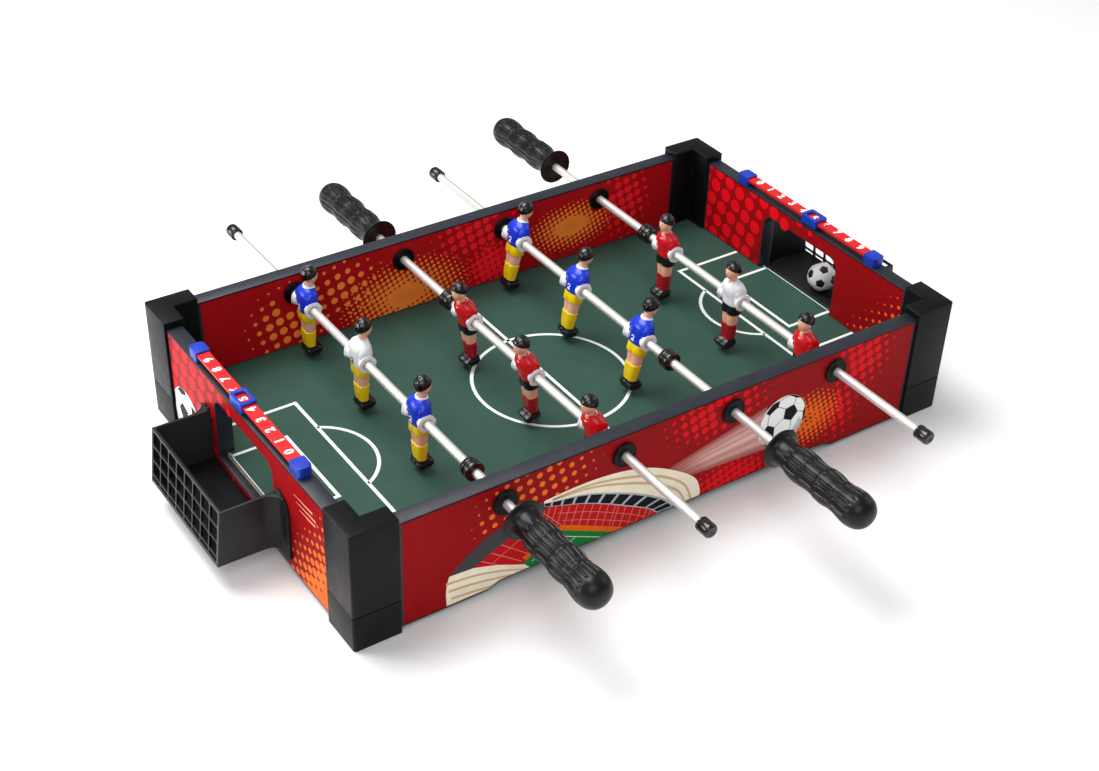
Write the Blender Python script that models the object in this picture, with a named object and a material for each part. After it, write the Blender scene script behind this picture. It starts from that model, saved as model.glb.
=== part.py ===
"""Tabletop foosball: four-rod table with side walls, goals, score counters and players.

Metres, +Z up. +X runs along the table's length, the rods run along Y.
The origin is the table's centre on the surface it stands on.
"""
import bpy
import bmesh
from math import cos, sin, pi, radians
from mathutils import Matrix, Vector

GAP = 0.0003

# case
HALF_L, HALF_W = 0.255, 0.155
OVERHANG = 0.002
WALL_T = 0.012
WALL_Z0, WALL_Z1 = 0.0033, 0.090
POST_Z0, POST_Z1 = 0.0285, 0.0955
FOOT_Z0 = 0.0
FOOT_FLOOR = 0.003
POST_ARM = 0.035
POST_T = 0.016
FIELD_Z0, FIELD_Z1 = 0.0205, 0.0265
GROOVE = 0.0061
RELIEF_Z = 0.0073
RELIEF_X0, RELIEF_X1, RELIEF_RUN = -0.145, 0.140, 0.009

# goals and baskets
GOAL_HALF, GOAL_Z0, GOAL_Z1, GOAL_R = 0.044, 0.0245, 0.077, 0.010
BASKET_HALF, BASKET_Z0, BASKET_Z1 = 0.054, 0.018, 0.062
BASKET_X_TOP, BASKET_X_LOW = 0.2957, 0.3008
BASKET_T, FLOOR_T = 0.002, 0.0025
FLANGE_HALF, FLANGE_Z0, FLANGE_Z1, FLANGE_T = 0.068, 0.0105, 0.064, 0.0022
NET_COLS, NET_RIB = 8, 0.0015
NET_ROWS = ((0.0492, 0.0600), (0.0372, 0.0480), (0.0252, 0.0360), (0.0207, 0.0240))

# score counters
PITCH = 0.0135
BAR_X0, BAR_X1, BAR_Z0, BAR_Z1, BAR_HALF = 0.2425, 0.2515, 0.095, 0.097, 0.073
HOLDER_X0, HOLDER_X1, HOLDER_Z1 = 0.2415, 0.2525, 0.0983
HOLDER_Y0, HOLDER_Y1 = 0.0703, 0.0830
SLIDER_HALF, SLIDER_X0, SLIDER_X1, SLIDER_Z0, SLIDER_Z1 = 0.009, 0.2408, 0.2532, 0.0915, 0.0993
WINDOW_HALF, WINDOW_X0, WINDOW_X1 = 0.0058, 0.2432, 0.2508
SCORE_SHOWN = 5

# rods
ROD_Z, ROD_R, ROD_BORE = 0.074, 0.00325, 0.0024
FIT_R = 0.0036
BUSH_R, BUSH_HOLE, BUSH_FLANGE = 0.0054, 0.0058, 0.0095
BUSH_IN, BUSH_OUT = 0.1394, 0.1555
CAP_R, CAP_L, CAP_DEPTH = 0.0052, 0.0115, 0.0095
RING_R, RING_L = 0.0073, 0.012
HANDLE_L, HANDLE_DEPTH, GUARD_R = 0.0885, 0.060, 0.015
SEG = 12

# name, x, handle side, cap end, handle start, ring centre, players (name, y), lean
RODS = (
    ("blue_keeper", -0.1415, -1, 0.2520, 0.1740, 0.1124,
     (("blue_back_near", -0.0437), ("blue_goalkeeper", 0.0391), ("blue_back_far", 0.1219)), 0.0),
    ("red_front", -0.0470, 1, 0.2480, 0.1780, 0.0700,
     (("red_forward_near", -0.1203), ("red_forward_middle", -0.0373),
      ("red_forward_far", 0.0457)), -6.5),
    ("blue_front", 0.0470, -1, 0.2520, 0.2035, 0.0793,
     (("blue_forward_near", -0.0441), ("blue_forward_middle", 0.0388),
      ("blue_forward_far", 0.1219)), 11.0),
    ("red_keeper", 0.1415, 1, 0.2500, 0.2055, 0.0720,
     (("red_back_near", -0.1207), ("red_goalkeeper", -0.0377), ("red_back_far", 0.0459)), 2.0),
)

BALL_R = 0.0120
BALL_POS = (0.2685, -0.0035, BASKET_Z0 + FLOOR_T + BALL_R + GAP)

# player body rings: z, x centre, half depth, half width
BODY = (
    (-0.0370, 0.0006, 0.0037, 0.0056), (-0.0230, 0.0004, 0.0044, 0.0064),
    (-0.0137, 0.0004, 0.0049, 0.0072), (-0.0126, 0.0004, 0.0058, 0.0082),
    (-0.0060, 0.0004, 0.0060, 0.0082), (0.0020, 0.0002, 0.0065, 0.0093),
    (0.0082, 0.0006, 0.0072, 0.0108), (0.0120, 0.0010, 0.0066, 0.0106),
    (0.0146, 0.0020, 0.0044, 0.0068), (0.0160, 0.0030, 0.0034, 0.0037),
)
HEAD_R, HEAD_X, HEAD_Z = 0.0062, 0.0043, 0.0240
BOSS_R, BOSS_HALF = 0.0064, 0.0118
SHOE = (-0.0043, 0.0093, 0.0066, -0.0440, -0.0360)

COLOURS = {
    "board": ((0.045, 0.13, 0.09), 0.45, 0.0), "wall": ((0.33, 0.012, 0.014), 0.40, 0.0),
    "black": ((0.012, 0.012, 0.014), 0.38, 0.0), "steel": ((0.75, 0.75, 0.76), 0.18, 1.0),
    "grip": ((0.014, 0.014, 0.016), 0.55, 0.0), "red": ((0.60, 0.010, 0.015), 0.35, 0.0),
    "blue": ((0.010, 0.060, 0.50), 0.35, 0.0), "white": ((0.75, 0.75, 0.78), 0.35, 0.0),
    "bar": ((0.62, 0.030, 0.030), 0.40, 0.0), "ball": ((0.80, 0.80, 0.80), 0.50, 0.0),
}


def clear_scene():
    for obj in list(bpy.data.objects):
        bpy.data.objects.remove(obj, do_unlink=True)
    for block in (bpy.data.meshes, bpy.data.materials):
        for item in list(block):
            block.remove(item)


def make_material(name, key):
    colour, roughness, metallic = COLOURS[key]
    mat = bpy.data.materials.new(name)
    mat.use_nodes = True
    shader = mat.node_tree.nodes["Principled BSDF"]
    shader.inputs["Base Color"].default_value = (*colour, 1.0)
    shader.inputs["Roughness"].default_value = roughness
    shader.inputs["Metallic"].default_value = metallic
    mat.diffuse_color = (*colour, 1.0)
    return mat


def new_object(name, verts, faces, key=None, smooth=False):
    mesh = bpy.data.meshes.new(name)
    mesh.from_pydata([tuple(v) for v in verts], [], faces)
    bm = bmesh.new()
    bm.from_mesh(mesh)
    bmesh.ops.recalc_face_normals(bm, faces=bm.faces)
    bm.to_mesh(mesh)
    bm.free()
    obj = bpy.data.objects.new(name, mesh)
    bpy.context.scene.collection.objects.link(obj)
    if key:
        mesh.materials.append(make_material(name, key))
    if smooth:
        mesh.shade_smooth()
    return obj


def box_data(lo, hi):
    x, y, z = zip(lo, hi)
    verts = [(x[i], y[j], z[k]) for i in (0, 1) for j in (0, 1) for k in (0, 1)]
    faces = [(0, 1, 3, 2), (4, 6, 7, 5), (0, 4, 5, 1), (2, 3, 7, 6), (0, 2, 6, 4), (1, 5, 7, 3)]
    return verts, faces


def boxes(name, spans, key=None):
    """One mesh holding a box per (low, high) pair."""
    verts, faces = [], []
    for lo, hi in spans:
        lo, hi = [tuple(f(a, b) for a, b in zip(lo, hi)) for f in (min, max)]
        v, f = box_data(lo, hi)
        faces += [tuple(i + len(verts) for i in face) for face in f]
        verts += v
    return new_object(name, verts, faces, key)


def prism(name, outline, axis, start, end, key=None):
    """Closed 2-D outline swept from start to end along axis (0, 1 or 2)."""
    def place(p, t):
        q = list(p)
        q.insert(axis, t)
        return q
    n = len(outline)
    verts = [place(p, start) for p in outline] + [place(p, end) for p in outline]
    faces = [tuple(range(n)), tuple(range(2 * n - 1, n - 1, -1))]
    faces += [(i, (i + 1) % n, n + (i + 1) % n, n + i) for i in range(n)]
    return new_object(name, verts, faces, key)


def ring_loft(rings, closed):
    """Faces between equal rings of vertices; closed joins the last ring to the first."""
    n = len(rings[0])
    verts = [v for ring in rings for v in ring]
    faces = []
    for r in range(len(rings) if closed else len(rings) - 1):
        a, b = r * n, ((r + 1) % len(rings)) * n
        faces += [(a + i, a + (i + 1) % n, b + (i + 1) % n, b + i) for i in range(n)]
    if not closed:
        faces += [tuple(range(n)), tuple(range(len(verts) - 1, len(verts) - n - 1, -1))]
    return verts, faces


def turned(name, profile, x, key=None, closed=True, seg=SEG, smooth=True):
    """Profile of (y, radius) pairs turned about the rod line at x."""
    rings = []
    for y, r in profile:
        rings.append([(x + r * sin(2 * pi * i / seg), y, ROD_Z + r * cos(2 * pi * i / seg))
                      for i in range(seg)])
    return new_object(name, *ring_loft(rings, closed), key, smooth)


def combine(target, cutter, operation="DIFFERENCE"):
    """Apply one exact boolean to target and remove the cutter."""
    cutter.hide_render = True
    cutter.display_type = "WIRE"
    mod = target.modifiers.new("bool", "BOOLEAN")
    mod.operation = operation
    mod.solver = "EXACT"
    mod.object = cutter
    bpy.context.view_layer.update()
    graph = bpy.context.evaluated_depsgraph_get()
    result = bpy.data.meshes.new_from_object(target.evaluated_get(graph))
    target.modifiers.clear()
    old, name = target.data, target.data.name
    target.data = result
    bpy.data.meshes.remove(old)
    result.name = name
    bpy.data.objects.remove(cutter, do_unlink=True)
    tidy(target)


def tidy(obj):
    bm = bmesh.new()
    bm.from_mesh(obj.data)
    bmesh.ops.remove_doubles(bm, verts=bm.verts, dist=0.00001)
    bmesh.ops.dissolve_limit(bm, angle_limit=0.0005, verts=bm.verts, edges=bm.edges)
    bmesh.ops.triangulate(bm, faces=[f for f in bm.faces if len(f.verts) > 4])
    bm.to_mesh(obj.data)
    bm.free()


def set_origin(obj, point):
    offset = Vector(point)
    obj.data.transform(Matrix.Translation(-offset))
    obj.location = offset


def rounded_rect(y0, y1, z0, z1, radii, steps=4):
    """Outline with radii for the corners (y1,z0), (y1,z1), (y0,z1), (y0,z0)."""
    corners = ((y1, z0, -90), (y1, z1, 0), (y0, z1, 90), (y0, z0, 180))
    points = []
    for (y, z, start), r in zip(corners, radii):
        if r == 0:
            points.append((y, z))
            continue
        cy = y - r if y == y1 else y + r
        cz = z - r if z == z1 else z + r
        points += [(cy + r * cos(radians(start + 90 * s / steps)),
                    cz + r * sin(radians(start + 90 * s / steps))) for s in range(steps + 1)]
    return points


def build_field():
    arm_x, arm_y = HALF_L - POST_ARM - GAP, HALF_W - POST_ARM - GAP
    in_x, in_y = HALF_L - POST_T - GAP, HALF_W - POST_T - GAP
    out_x = HALF_L - OVERHANG - WALL_T + GROOVE - GAP
    out_y = HALF_W - OVERHANG - WALL_T + GROOVE - GAP
    corner = [(out_x, arm_y), (in_x, arm_y), (in_x, in_y), (arm_x, in_y), (arm_x, out_y)]
    outline = corner + [(-x, y) for x, y in reversed(corner)]
    outline += [(-x, -y) for x, y in corner] + [(x, -y) for x, y in reversed(corner)]
    prism("playing_field", outline, 2, FIELD_Z0, FIELD_Z1, "board")


def build_side_wall(name, side):
    """side is +1 for the far wall, -1 for the near wall."""
    end = HALF_L - OVERHANG - GROOVE - 0.0002
    y0, y1 = HALF_W - OVERHANG - WALL_T, HALF_W - OVERHANG
    r0, r1 = (RELIEF_X0, RELIEF_X1) if side < 0 else (-RELIEF_X1, -RELIEF_X0)
    outline = [(-end, WALL_Z0), (r0 - RELIEF_RUN, WALL_Z0), (r0, RELIEF_Z), (r1, RELIEF_Z),
               (r1 + RELIEF_RUN, WALL_Z0), (end, WALL_Z0), (end, WALL_Z1), (-end, WALL_Z1)]
    wall = prism(name, outline, 1, side * y0, side * y1, "wall")
    groove = ((-HALF_L, side * (y0 - 0.001), FIELD_Z0 - GAP),
              (HALF_L, side * (y0 + GROOVE), FIELD_Z1 + GAP))
    combine(wall, boxes("cut", [groove]))
    for rod in RODS:
        hole = turned("cut", [(side * (y0 - 0.002), BUSH_HOLE), (side * (y1 + 0.002), BUSH_HOLE)],
                      rod[1], closed=False)
        combine(wall, hole)


def build_end_wall(name, side):
    """side is -1 for the left wall, +1 for the right wall."""
    x0, x1 = side * (HALF_L - OVERHANG - WALL_T), side * (HALF_L - OVERHANG)
    half = HALF_W - OVERHANG - WALL_T - 0.0006
    wall = boxes(name, [((x0, -half, WALL_Z0), (x1, half, WALL_Z1))], "wall")
    groove = ((x0 - side * 0.001, -HALF_W, FIELD_Z0 - GAP),
              (x0 + side * GROOVE, HALF_W, FIELD_Z1 + GAP))
    combine(wall, boxes("cut", [groove]))
    mouth = rounded_rect(-GOAL_HALF, GOAL_HALF, GOAL_Z0, GOAL_Z1, (0, GOAL_R, GOAL_R, 0), 6)
    combine(wall, prism("cut", mouth, 0, x0 - side * 0.002, x1 + side * 0.002))


def corner_piece(name, sx, sy, z0, z1, slot_z0, slot_z1, chamfer=0.0):
    """L-shaped corner with slots for the two wall ends."""
    arm_x, arm_y = HALF_L - POST_ARM, HALF_W - POST_ARM
    in_x, in_y = HALF_L - POST_T, HALF_W - POST_T
    def outline(inset):
        hx, hy = HALF_L - inset, HALF_W - inset
        pts = [(arm_x + inset, hy), (hx, hy), (hx, arm_y + inset),
               (in_x + inset, arm_y + inset), (in_x + inset, in_y + inset),
               (arm_x + inset, in_y + inset)]
        return [(sx * x, sy * y) for x, y in pts]
    levels = [(z0, chamfer), (z0 + chamfer, 0.0)] if chamfer else [(z0, 0.0)]
    levels.append((z1, 0.0))
    rings = [[(x, y, z) for x, y in outline(inset)] for z, inset in levels]
    piece = new_object(name, *ring_loft(rings, False), "black")
    x_in, x_out = HALF_L - OVERHANG - WALL_T - GAP, HALF_L - OVERHANG + GAP
    y_in, y_out = HALF_W - OVERHANG - WALL_T - GAP, HALF_W - OVERHANG + GAP
    side_slot = boxes("cut", [((sx * 0.2, sy * y_in, slot_z0),
                               (sx * (x_out - GROOVE), sy * y_out, slot_z1))])
    end_slot = boxes("cut", [((sx * x_in, sy * 0.1, slot_z0),
                              (sx * x_out, sy * (y_in + 0.0004), slot_z1))])
    combine(piece, side_slot)
    combine(piece, end_slot)
    return piece


def build_corners():
    for x_name, sx in (("left", -1), ("right", 1)):
        for y_name, sy in (("near", -1), ("far", 1)):
            tag = f"{y_name}_{x_name}"
            corner_piece(f"corner_post_{tag}", sx, sy, POST_Z0, POST_Z1, 0.02, WALL_Z1 + GAP)
            corner_piece(f"corner_foot_{tag}", sx, sy, FOOT_Z0, POST_Z0 - GAP,
                         FOOT_FLOOR, 0.04, 0.0012)


def build_basket(name, side):
    """Open-topped ball catcher with a net-like outer wall."""
    back = HALF_L - OVERHANG + GAP
    def span(x0, x1, y0, y1, z0, z1):
        return (side * x0, y0, z0), (side * x1, y1, z1)
    flange = rounded_rect(-FLANGE_HALF, FLANGE_HALF, FLANGE_Z0, FLANGE_Z1,
                          (0.006, 0.014, 0.014, 0.006))
    basket = prism(name, flange, 0, side * back, side * (back + FLANGE_T), "black")
    def wedge(x0, inset, half, z0, z1):
        """Box whose outer face leans out towards its foot."""
        lean = (BASKET_X_LOW - BASKET_X_TOP) / (BASKET_Z1 - BASKET_Z0)
        side_view = [(side * x0, z0), (side * (BASKET_X_TOP - inset + lean * (BASKET_Z1 - z0)), z0),
                     (side * (BASKET_X_TOP - inset + lean * (BASKET_Z1 - z1)), z1),
                     (side * x0, z1)]
        return prism("tool", side_view, 1, -half, half)
    combine(basket, wedge(back + 0.0005, 0.0, BASKET_HALF, BASKET_Z0, BASKET_Z1), "UNION")
    for sy in (-1, 1):
        flare = [(side * (back + FLANGE_T - 0.0003), sy * 0.062),
                 (side * (back + FLANGE_T - 0.0003), sy * 0.0535),
                 (side * (back + 0.0095), sy * 0.0535), (side * (back + 0.0095), sy * 0.054),
                 (side * (back + 0.005), sy * 0.0562)]
        combine(basket, prism("join", flare, 2, BASKET_Z0, BASKET_Z1 - 0.0015), "UNION")
    inner = BASKET_HALF - BASKET_T
    combine(basket, wedge(back - 0.003, BASKET_T, inner, BASKET_Z0 + FLOOR_T, 0.09))
    step = 2 * inner / NET_COLS
    cells = []
    for col in range(NET_COLS):
        y0 = -inner + col * step + NET_RIB / 2
        for z0, z1 in NET_ROWS:
            cells.append(span(BASKET_X_TOP - BASKET_T - 0.001, BASKET_X_LOW + 0.001,
                              y0, y0 + step - NET_RIB, z0, z1))
    combine(basket, boxes("cut", cells))


def build_score(name, side):
    bar = boxes(f"score_bar_{name}", [((side * BAR_X0, -BAR_HALF, BAR_Z0),
                                       (side * BAR_X1, BAR_HALF, BAR_Z1))], "bar")
    groove = ((side * (BAR_X0 - GAP), -BAR_HALF - GAP, BAR_Z0 - GAP),
              (side * (BAR_X1 + GAP), BAR_HALF + GAP, BAR_Z1 + GAP))
    for y_name, sy in (("near", -1), ("far", 1)):
        outline = rounded_rect(HOLDER_X0, HOLDER_X1, HOLDER_Y0, HOLDER_Y1,
                               (0, 0.003, 0.003, 0), 3)
        holder = prism(f"score_bar_holder_{name}_{y_name}",
                       [(side * x, sy * y) for x, y in outline], 2,
                       WALL_Z1 + GAP, HOLDER_Z1, "blue")
        combine(holder, boxes("cut", [groove]))
    y = -side * (SCORE_SHOWN - 4.5) * PITCH
    slider = boxes(f"score_slider_{name}",
                   [((side * SLIDER_X0, y - SLIDER_HALF, SLIDER_Z0),
                     (side * SLIDER_X1, y + SLIDER_HALF, SLIDER_Z1))], "blue")
    combine(slider, boxes("cut", [groove]))
    window = ((side * WINDOW_X0, y - WINDOW_HALF, BAR_Z1 - 0.001),
              (side * WINDOW_X1, y + WINDOW_HALF, SLIDER_Z1 + 0.001))
    combine(slider, boxes("cut", [window]))
    set_origin(slider, (side * (SLIDER_X0 + SLIDER_X1) / 2, y, BAR_Z1))
    return bar


def build_bushings(rod_name, x):
    face_in, face_out = HALF_W - OVERHANG - WALL_T - GAP, HALF_W - OVERHANG + GAP
    for y_name, sy in (("near", -1), ("far", 1)):
        profile = [(BUSH_IN, FIT_R), (BUSH_IN, BUSH_FLANGE), (face_in, BUSH_FLANGE),
                   (face_in, BUSH_R), (face_out, BUSH_R), (face_out, BUSH_FLANGE),
                   (BUSH_OUT, BUSH_FLANGE), (BUSH_OUT, FIT_R)]
        turned(f"rod_bushing_{rod_name}_{y_name}", [(sy * y, r) for y, r in profile], x, "black")


def player_mesh(name, key):
    """Player about the rod axis, facing +X, bored for the rod along Y."""
    rings = []
    for z, cx, hx, hy in BODY:
        ring = []
        for i in range(8):
            a = 2 * pi * (i + 0.5) / 8
            ring.append((cx + hx * 1.06 * cos(a), hy * 1.06 * sin(a), z))
        rings.append(ring)
    for k in range(5):
        a = radians(-62 + 34 * k)
        ring = []
        for i in range(8):
            b = 2 * pi * (i + 0.5) / 8
            ring.append((HEAD_X + HEAD_R * cos(a) * cos(b), HEAD_R * cos(a) * sin(b),
                         HEAD_Z + HEAD_R * sin(a)))
        rings.append(ring)
    player = new_object(name, *ring_loft(rings, False), key)
    x0, x1, half, z0, z1 = SHOE
    heel, toe = (x0, z0), (x1, z0)
    shoe = prism("join", [heel, toe, (x1, z0 + 0.0035), (x1 - 0.004, z1), (x0, z1)], 1,
                 -half, half)
    combine(player, shoe, "UNION")
    seg = 10
    boss = [[(BOSS_R * sin(2 * pi * i / seg), y, BOSS_R * cos(2 * pi * i / seg))
             for i in range(seg)] for y in (-BOSS_HALF, BOSS_HALF)]
    combine(player, new_object("join", *ring_loft(boss, False)), "UNION")
    bore = [[(FIT_R * sin(2 * pi * i / SEG), y, FIT_R * cos(2 * pi * i / SEG))
             for i in range(SEG)] for y in (-BOSS_HALF - 0.002, BOSS_HALF + 0.002)]
    combine(player, new_object("cut", *ring_loft(bore, False)))
    player.data.shade_smooth()
    player.data.set_sharp_from_angle(angle=radians(50))
    return player


def build_rod(rod):
    name, x, hand, cap_end, grip, ring, players, lean = rod
    cap_in = cap_end - CAP_L
    def along(profile):
        return [(hand * y, r) for y, r in profile]
    start, end = -(cap_in + CAP_DEPTH - GAP), grip + HANDLE_DEPTH - GAP
    tube = turned(f"rod_{name}", along([(start, ROD_BORE), (start, ROD_R), (end, ROD_R),
                                        (end, ROD_BORE)]), x, "steel")
    cap = turned(f"rod_cap_{name}", along([
        (-cap_in, FIT_R), (-cap_in, CAP_R - 0.0008), (-cap_in - 0.0008, CAP_R),
        (-cap_end + 0.0015, CAP_R), (-cap_end, CAP_R - 0.0015), (-cap_end, 0.0008),
        (-cap_in - CAP_DEPTH, 0.0008), (-cap_in - CAP_DEPTH, FIT_R)]), x, "black")
    half = RING_L / 2
    collar = turned(f"stop_ring_{name}", along([
        (ring - half, FIT_R), (ring - half, RING_R - 0.001), (ring - half + 0.001, RING_R),
        (ring + half - 0.001, RING_R), (ring + half, RING_R - 0.001), (ring + half, FIT_R)]),
        x, "black")
    g, tip = grip, grip + HANDLE_L
    handle = turned(f"handle_{name}", along([
        (g, FIT_R), (g, GUARD_R), (g + 0.0032, GUARD_R), (g + 0.0038, 0.0100), (g + 0.017, 0.0100),
        (g + 0.021, 0.0115), (g + 0.030, 0.0122), (g + 0.040, 0.0112), (g + 0.051, 0.0124),
        (g + 0.061, 0.0112), (g + 0.073, 0.0126), (tip - 0.006, 0.0118), (tip - 0.0015, 0.0085),
        (tip, 0.0045), (tip, 0.0008), (g + HANDLE_DEPTH, 0.0008), (g + HANDLE_DEPTH, FIT_R)]),
        x, "grip")
    turn = Matrix.Rotation(radians(lean), 4, "Y")
    facing = 1 if name.startswith("blue") else -1
    team = "blue" if facing > 0 else "red"
    moving = [tube, cap, collar, handle]
    for player_name, y in players:
        key = "white" if "goalkeeper" in player_name else team
        player = player_mesh(player_name, key)
        if facing < 0:
            player.data.transform(Matrix.Rotation(pi, 4, "Z"))
        player.data.transform(Matrix.Translation((x, y, ROD_Z)) @ turn)
        moving.append(player)
    for obj in moving:
        set_origin(obj, (x, 0.0, ROD_Z))
    build_bushings(name, x)


def build_ball():
    rows, seg = 7, 10
    rings = []
    for k in range(rows):
        a = pi * (k + 0.5) / rows - pi / 2
        rings.append([(BALL_R * cos(a) * cos(2 * pi * i / seg),
                       BALL_R * cos(a) * sin(2 * pi * i / seg), BALL_R * sin(a))
                      for i in range(seg)])
    ball = new_object("ball", *ring_loft(rings, False), "ball", True)
    ball.location = BALL_POS


clear_scene()
build_field()
build_side_wall("side_wall_near", -1)
build_side_wall("side_wall_far", 1)
build_end_wall("end_wall_left", -1)
build_end_wall("end_wall_right", 1)
build_corners()
for label, direction in (("left", -1), ("right", 1)):
    build_basket(f"goal_basket_{label}", direction)
    build_score(label, direction)
for rod_data in RODS:
    build_rod(rod_data)
build_ball()
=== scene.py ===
from itertools import combinations
from math import atan2, ceil, cos, exp, pi, radians, sin, sqrt

import bmesh
import bpy
from mathutils import Matrix, Vector, noise


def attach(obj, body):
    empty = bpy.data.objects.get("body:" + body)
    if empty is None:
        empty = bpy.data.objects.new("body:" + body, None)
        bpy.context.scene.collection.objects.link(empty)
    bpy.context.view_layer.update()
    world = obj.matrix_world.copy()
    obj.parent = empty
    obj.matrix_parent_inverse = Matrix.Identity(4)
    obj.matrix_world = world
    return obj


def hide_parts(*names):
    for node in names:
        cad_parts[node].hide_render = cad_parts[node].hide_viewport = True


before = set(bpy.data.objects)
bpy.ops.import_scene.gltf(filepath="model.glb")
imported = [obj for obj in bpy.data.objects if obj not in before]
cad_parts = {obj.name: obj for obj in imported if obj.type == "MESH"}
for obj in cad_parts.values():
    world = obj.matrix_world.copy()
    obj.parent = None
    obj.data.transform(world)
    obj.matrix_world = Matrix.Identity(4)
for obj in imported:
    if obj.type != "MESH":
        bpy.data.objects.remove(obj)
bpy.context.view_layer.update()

MM = 0.001
GAP = 0.0003

# sizes shared with the CAD, in metres
HALF_L, HALF_W, OVERHANG, WALL_T = 0.255, 0.155, 0.002, 0.012
WALL_Z0, WALL_Z1, POST_Z0, POST_Z1 = 0.0033, 0.090, 0.0285, 0.0955
POST_ARM, POST_T, FIELD_Z0, FIELD_Z1, GROOVE = 0.035, 0.016, 0.0205, 0.0265, 0.0061
RELIEF_Z, RELIEF_X0, RELIEF_X1, RELIEF_RUN = 0.0073, -0.145, 0.140, 0.009
GOAL_HALF, GOAL_Z0, GOAL_Z1, GOAL_R = 0.044, 0.0245, 0.077, 0.010
BASKET_HALF, BASKET_Z0, BASKET_Z1, BASKET_T = 0.054, 0.018, 0.062, 0.002
BASKET_X_TOP, BASKET_X_LOW = 0.2957, 0.3008
PITCH, BAR_X0, BAR_X1, BAR_Z0, BAR_Z1 = 0.0135, 0.2425, 0.2515, 0.095, 0.097
SLIDER_X0, SLIDER_X1, SLIDER_Z0, SLIDER_Z1 = 0.2408, 0.2532, 0.0915, 0.0993
ROD_Z, ROD_R, HOLE_R = 0.074, 0.00325, 0.0058
OUTER_Y, INNER_Y, OUTER_X, INNER_X = 0.153, 0.141, 0.253, 0.241

# name, x, handle side, cap end, handle start, ring centre, players (name, y), lean
RODS = (
    ("blue_keeper", -0.1415, -1, 0.2520, 0.1740, 0.1124,
     (("blue_back_near", -0.0437), ("blue_goalkeeper", 0.0391), ("blue_back_far", 0.1219)), 0.0),
    ("red_front", -0.0470, 1, 0.2480, 0.1780, 0.0700,
     (("red_forward_near", -0.1203), ("red_forward_middle", -0.0373),
      ("red_forward_far", 0.0457)), -6.5),
    ("blue_front", 0.0470, -1, 0.2520, 0.2035, 0.0793,
     (("blue_forward_near", -0.0441), ("blue_forward_middle", 0.0388),
      ("blue_forward_far", 0.1219)), 11.0),
    ("red_keeper", 0.1415, 1, 0.2500, 0.2055, 0.0720,
     (("red_back_near", -0.1207), ("red_goalkeeper", -0.0377), ("red_back_far", 0.0459)), 2.0),
)


# ---------------------------------------------------------------- materials

def lin(r, g, b):
    """8-bit display colour to scene-linear."""
    return tuple(((c / 255) / 12.92 if c <= 10 else (((c / 255) + 0.055) / 1.055) ** 2.4)
                 for c in (r, g, b))


def make(name, rgb, rough, metal=0.0, vary=0.10, scale=60.0, grain=900.0, bump=0.10,
         depth=0.0002, stretch=(1, 1, 1), spread=0.12, coat=0.0, edge_highlight=0.0, spec=0.5, fade=""):
    """Moulded, printed or metal finish: mottled colour, uneven gloss, a fine grain and an optional
    painted edge highlight.
    """
    mat = bpy.data.materials.new(name)
    mat.use_nodes = True
    nodes, links = mat.node_tree.nodes, mat.node_tree.links
    shader = nodes["Principled BSDF"]

    def setup(node, **sockets):
        """Give sockets a constant, or the output that feeds them."""
        for key, value in sockets.items():
            socket = node.inputs[key.replace("_", " ")]
            if isinstance(value, bpy.types.NodeSocket):
                links.new(value, socket)
            else:
                socket.default_value = value
        return node.outputs[0]

    def add(kind, **sockets):
        return setup(nodes.new("ShaderNode" + kind), **sockets)
    coords = nodes.new("ShaderNodeTexCoord").outputs["Object"]
    place = add("Mapping", Vector=coords, Scale=stretch)

    def cloud(size, detail):
        return add("TexNoise", Vector=place, Scale=size, Detail=detail)
    base = lin(*rgb)
    ramp = nodes.new("ShaderNodeValToRGB")
    for stop, position, change in zip(ramp.color_ramp.elements, (0.30, 0.70), (-vary, vary)):
        stop.position = position
        stop.color = (*[min(1.0, c * (1 + change)) for c in base], 1)
    colour = setup(ramp, Fac=cloud(scale, 4.0))
    if fade:
        tint = nodes.new("ShaderNodeAttribute")
        tint.attribute_name = fade
        colour = add("MixRGB", Fac=0.9, Color1=colour, Color2=tint.outputs["Color"])
    # painted highlight: convex edges (found by pointiness) are mixed towards a paler copy of the
    # base colour
    if edge_highlight:
        point = nodes.new("ShaderNodeNewGeometry").outputs["Pointiness"]
        edge = add("MapRange", Value=point, From_Min=0.52, From_Max=0.62, To_Max=edge_highlight)
        pale = (*[min(1.0, c * 2.2 + 0.05) for c in base], 1)
        colour = add("MixRGB", Fac=edge, Color1=colour, Color2=pale)
    gloss = add("MapRange", Value=cloud(scale * 3.1, 3.0), To_Min=max(0.02, rough - spread),
                To_Max=min(1.0, rough + spread))
    relief = add("Bump", Height=cloud(grain, 3.0), Strength=bump, Distance=depth)
    setup(shader, Base_Color=colour, Roughness=gloss, Normal=relief, Metallic=metal,
          Specular_IOR_Level=spec, Coat_Weight=coat, Coat_Roughness=0.12)
    return mat


def ink(name, rgb, vary=0.05, spec=0.04, fade=""):
    """Smooth print."""
    return make(name, rgb, 0.34, vary=vary, scale=140.0, grain=2600.0, bump=0.06,
                depth=0.00008, spread=0.06, spec=spec, fade=fade)


def paint(name, rgb, rough=0.30, vary=0.08, spec=0.42):
    """Glossy paint on a figure."""
    return make("figure_" + name, rgb, rough, vary=vary, scale=220.0, spec=spec)


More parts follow.
